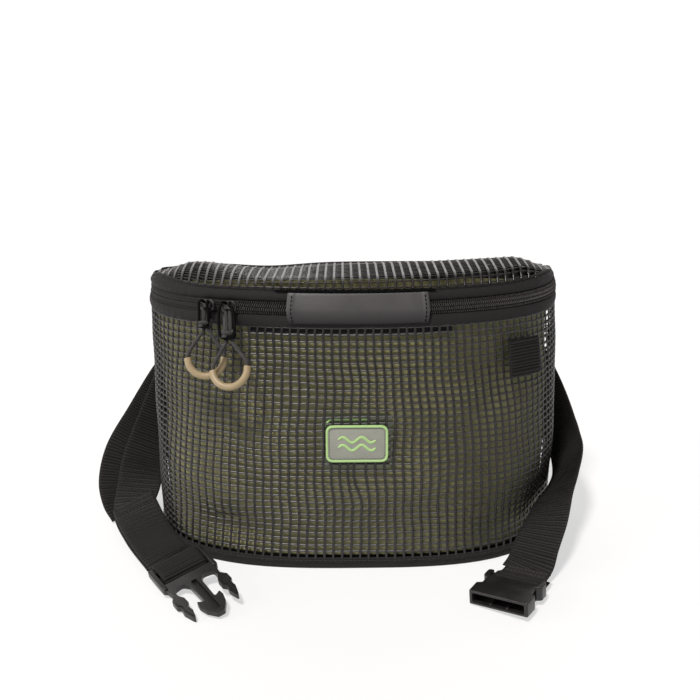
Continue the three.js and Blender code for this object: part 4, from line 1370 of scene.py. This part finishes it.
def buckle_loop(name, place, route, shift=0.0):
    """Webbing threaded through a buckle half, along points of its side view in the half's own millimetres."""
    middles = placed(place, [(shift, y, z) for y, z in route])
    across = np.array((place.to_3x3() @ Vector((1.0, 0.0, 0.0)))[:])
    return webbing(name, middles, np.tile(across, (len(route), 1)))


def row_across(name, middle, across, out, half, lift, *size):
    """A row of stitches across webbing, lifted off its middle."""
    path = middle + across * np.linspace(-half, half, 60)[:, None] + out * lift
    stitches(name, path, out, finish("thread"), *size, "webbing")


class POUCH_OT_straps(bpy.types.Operator):
    """Adds the webbing of the waist straps, with hems and sewn ends"""

    bl_idname = "pouch.straps"
    bl_label = "Straps"

    def execute(self, context):
        place = buckle_place(*MALE_PLACE)
        for name, stations in STRAPS.items():
            ends = np.array(stations, float)
            tail = name == "left_strap_tail"
            if tail:
                # The tail dips to the rear bar of the buckle half.
                rear = placed(place, [(x, -4.2, -3.4) for x in (STRAP_HALF, -STRAP_HALF)])
                ends = np.concatenate([ends, [rear]])
            else:
                ends = np.concatenate([[STRAP_ENDS[name]], ends])
            middles = ends.mean(1)
            acrosses = unit(ends[:, 1] - ends[:, 0])
            hem = TAIL_HEM if tail else 0.0
            route, across, normal = webbing(f"{name}_webbing", middles, acrosses, [name], hem)
            if tail:
                # Two rows of stitches over the doubled end, as steps along the run.
                for k, row in enumerate((22, 17)):
                    up = normal[row] * np.sign(normal[row][2])
                    row_across(f"tail_stitches_{k}", route[row], across[row], up, 17.0, 1.6, 2.4, 3.2, 0.34)
            else:
                # A sewn box with a cross holds the end to the panel.
                outs = normal * np.sign(normal[:1, 1:2])
                near, far, wide = 6, 46, 16
                lines = ((near, near, -wide, wide), (far, far, -wide, wide), (near, far, -wide, wide),
                         (near, far, wide, -wide), (near, far, -wide, -wide), (near, far, wide, wide))
                share = np.linspace(0.0, 1.0, 60)
                for k, (start, end, left, right) in enumerate(lines):
                    rows = np.round(start + (end - start) * share).astype(int)
                    places = (left + (right - left) * share)[:, None]
                    path = route[rows] + across[rows] * places + outs[rows] * 1.25
                    stitches(f"{name}_box_{k}", path, outs[rows], finish("thread"), 2.4, 3.2, 0.36, "webbing")
        return {"FINISHED"}


class POUCH_OT_tab(bpy.types.Operator):
    """Adds the square webbing tab on the right of the front, sewn down at its ends"""

    bl_idname = "pouch.tab"
    bl_label = "Webbing tab"

    def execute(self, context):
        place = wall_place(47.6, 166.5, 3.2)
        heights = np.linspace(-15.0, 15.0, 9)
        bow = -0.2 - 0.8 * np.cos(np.pi * heights / 30.0)
        middles = placed(place, [(0.0, b, h) for b, h in zip(bow, heights)])
        acrosses = np.tile(np.array(place.col[0][:3]), (len(heights), 1))
        webbing("tab_webbing", middles, acrosses, ["webbing_tab"], step=0.4, half=15.5)
        for k, h in enumerate((-12.6, 12.6)):
            path = placed(place, [(x, -2.1, h) for x in np.linspace(-13.5, 13.5, 50)])
            out = -np.array(place.col[1][:3])
            stitches(f"tab_stitches_{k}", path, out, finish("thread"), 2.4, 3.2, 0.34, "webbing")
        return {"FINISHED"}


class POUCH_OT_male_buckle(bpy.types.Operator):
    """Adds the pronged buckle half with its strap threaded over the middle bar"""

    bl_idname = "pouch.male_buckle"
    bl_label = "Pronged buckle half"

    def execute(self, context):
        place = buckle_place(*MALE_PLACE)
        # Right half of the outline, from the rear corner out along the side prong and round the guide.
        side = [(24, 0), (24, 28), (21.6, 31), (20.4, 39), (24.2, 44), (24.2, 51.6), (22, 54), (22.6, 60),
                (18.6, 74), (15.8, 62), (17, 56.5), (14.6, 53), (14.8, 46), (17.4, 41.5), (18, 33.5),
                (9, 31.5), (5.2, 37), (4.4, 60.5), (9.8, 57), (10.4, 62), (8.4, 70), (3, 78)]
        radii = [3, 1.5, 1.5, 2, 1, 0.6, 0.5, 0.8, 1.5, 0.8, 0.5, 0.6, 1, 2, 3.5, 4, 4, 1.5, 0.6, 1.5, 2, 2]
        shape = side + [(-x, y) for x, y in side[::-1]]
        buckle = prism("male_buckle_half", fillet(shape, radii + radii[::-1], 5), -2.2, 2.2)
        for low, high in ((6.5, 11.8), (18.2, 23.2)):
            carve(buckle, prism("slot", box(20, low, high, 0.8, 3), -6.0, 6.0))
        carve(buckle, prism("bar_top", box(20, 11, 19, 0.3, 2), 0.8, 6.0))
        carve(buckle, prism("channel", box(2.4, 33, 73, 1.2, 3), -0.4, 6.0))
        rail = ((20.2, 1.0), (24.0, 1.0), (23.8, 29.5), (20.2, 29.5))
        head = ((16.4, 47), (22.8, 46.5), (22.8, 51), (20.6, 54), (20.8, 60), (18.5, 70), (17.2, 62),
                (18.2, 56), (16.2, 52.5))
        for sign in (-1, 1):
            bar = soften(prism("rail", on_side(sign, rail, 1.0, 3), -2.5, 3.6), 1.4, 3)
            carve(buckle, bar, "UNION")
            carve(buckle, prism("head", on_side(sign, head, 0.5, 3), -2.5, 2.9), "UNION")
        soften(buckle, 0.45, 2)
        settle(buckle, place, finish("moulded"), ["male_buckle"])

        # Webbing up over the rear bar and the middle bar, down the front slot and back under.
        route = [(3, -4.0), (0, -3.8), (-1.5, -2.4), (-1.7, 0), (-1.3, 2.4), (0.6, 3.7), (4, 4.1), (9, 4.3),
                 (14, 4.1), (17.6, 3.2), (19.6, 1.2), (20.4, -1.4), (19.4, -4.4), (16, -5.4), (8, -5.6),
                 (3, -5.6)]
        buckle_loop("left_strap_loop", place, route)
        return {"FINISHED"}


class POUCH_OT_female_buckle(bpy.types.Operator):
    """Adds the housing of the other buckle half with the strap's folded end sewn round its bar"""

    bl_idname = "pouch.female_buckle"
    bl_label = "Buckle housing"

    def execute(self, context):
        place = buckle_place(*FEMALE_PLACE)
        side = [(24.5, 0), (24.5, 10), (20.5, 12), (20.5, 21), (24.5, 23), (24.2, 37)]
        radii = [3, 2.5, 1.2, 1.2, 2, 1.5]
        shape = side + [(-x, y) for x, y in side[::-1]]
        housing = prism("female_buckle_half", fillet(shape, radii + radii[::-1], 5), 0.0, 12.0)
        soften(housing, 2.2, 4, 50.0)
        mouth = prism("mouth", box(21.5, 2, 10, 1.6, 4), -40.0, -12.0)
        mouth.data.transform(STAND)
        carve(housing, mouth)
        carve(housing, prism("slot", box(20, 4.5, 9, 0.8, 3), -3.0, 15.0))
        for low, high in ((-2.0, 2.6), (9.4, 15.0)):
            carve(housing, prism("bar_face", box(20, -2, 5.5, 0.5, 2), low, high))
        window = ((19, 13.5), (26, 13.5), (26, 19.5), (19, 19.5))
        rib = ((6, 16), (7.6, 16), (7.6, 35.5), (6, 35.5))
        for sign in (-1, 1):
            carve(housing, prism("window", on_side(sign, window, 0.6, 2), 3.4, 8.6))
            carve(housing, prism("rib", on_side(sign, rib, 0.3, 2), 1.0, 3.4), "UNION")
        soften(housing, 0.3, 2)
        settle(housing, place, finish("moulded"), ["female_buckle"])

        # Webbing over the bar, down through the slot and back under.
        route = [(-18, 7.2), (-13, 7.2), (-8, 7.4), (-4, 8.8), (0.5, 10.6), (4.2, 10.4), (6.6, 8.4),
                 (6.7, 4.4), (4.4, 1.7), (0.5, 1.2), (-8, 1.3), (-16, 1.4)]
        run, across, normal = buckle_loop("right_strap_loop", place, route, -1.2)
        for k, row in enumerate((5, 15)):
            name = f"strap_end_stitches_{k}"
            row_across(name, run[row], across[row], normal[row], 17.5, 1.0, 2.6, 3.4, 0.55)
        return {"FINISHED"}


class POUCH_PT_panel(bpy.types.Panel):
    """Shows the pouch's sizes and colours and the steps that dress it"""

    bl_label = "Pouch"
    bl_idname = "POUCH_PT_panel"
    bl_space_type = "VIEW_3D"
    bl_region_type = "UI"
    bl_category = "Pouch"

    def draw(self, context):
        for settings in (context.scene.pouch_sizes, context.scene.pouch_colours):
            for name in settings.bl_rna.properties.keys():
                if name not in {"rna_type", "name"}:
                    self.layout.prop(settings, name)
        for step in STEPS:
            self.layout.operator(step.bl_idname)


STEPS = (
    POUCH_OT_stage, POUCH_OT_pull_cords, POUCH_OT_pull_fittings, POUCH_OT_net_wall, POUCH_OT_liner,
    POUCH_OT_base, POUCH_OT_back, POUCH_OT_zip, POUCH_OT_flap, POUCH_OT_lid, POUCH_OT_badge, POUCH_OT_tab,
    POUCH_OT_straps, POUCH_OT_male_buckle, POUCH_OT_female_buckle,
)
CLASSES = (PouchSizes, PouchColours, *STEPS, POUCH_PT_panel)


def register():
    for kind in CLASSES:
        bpy.utils.register_class(kind)
    bpy.types.Scene.pouch_sizes = bpy.props.PointerProperty(type=PouchSizes)
    bpy.types.Scene.pouch_colours = bpy.props.PointerProperty(type=PouchColours)


def unregister():
    del bpy.types.Scene.pouch_sizes
    del bpy.types.Scene.pouch_colours
    for kind in reversed(CLASSES):
        bpy.utils.unregister_class(kind)


def main():
    register()
    bpy.ops.object.select_all(action="DESELECT")
    bpy.ops.pouch.stage()
    bpy.ops.pouch.pull_cords()
    bpy.ops.pouch.pull_fittings()
    bpy.ops.pouch.net_wall()
    bpy.ops.pouch.liner()
    bpy.ops.pouch.base()
    bpy.ops.pouch.back()
    bpy.ops.pouch.zip()
    bpy.ops.pouch.flap()
    bpy.ops.pouch.lid()
    bpy.ops.pouch.badge()
    bpy.ops.pouch.tab()
    bpy.ops.pouch.straps()
    bpy.ops.pouch.male_buckle()
    bpy.ops.pouch.female_buckle()


if __name__ == "__main__":
    main()
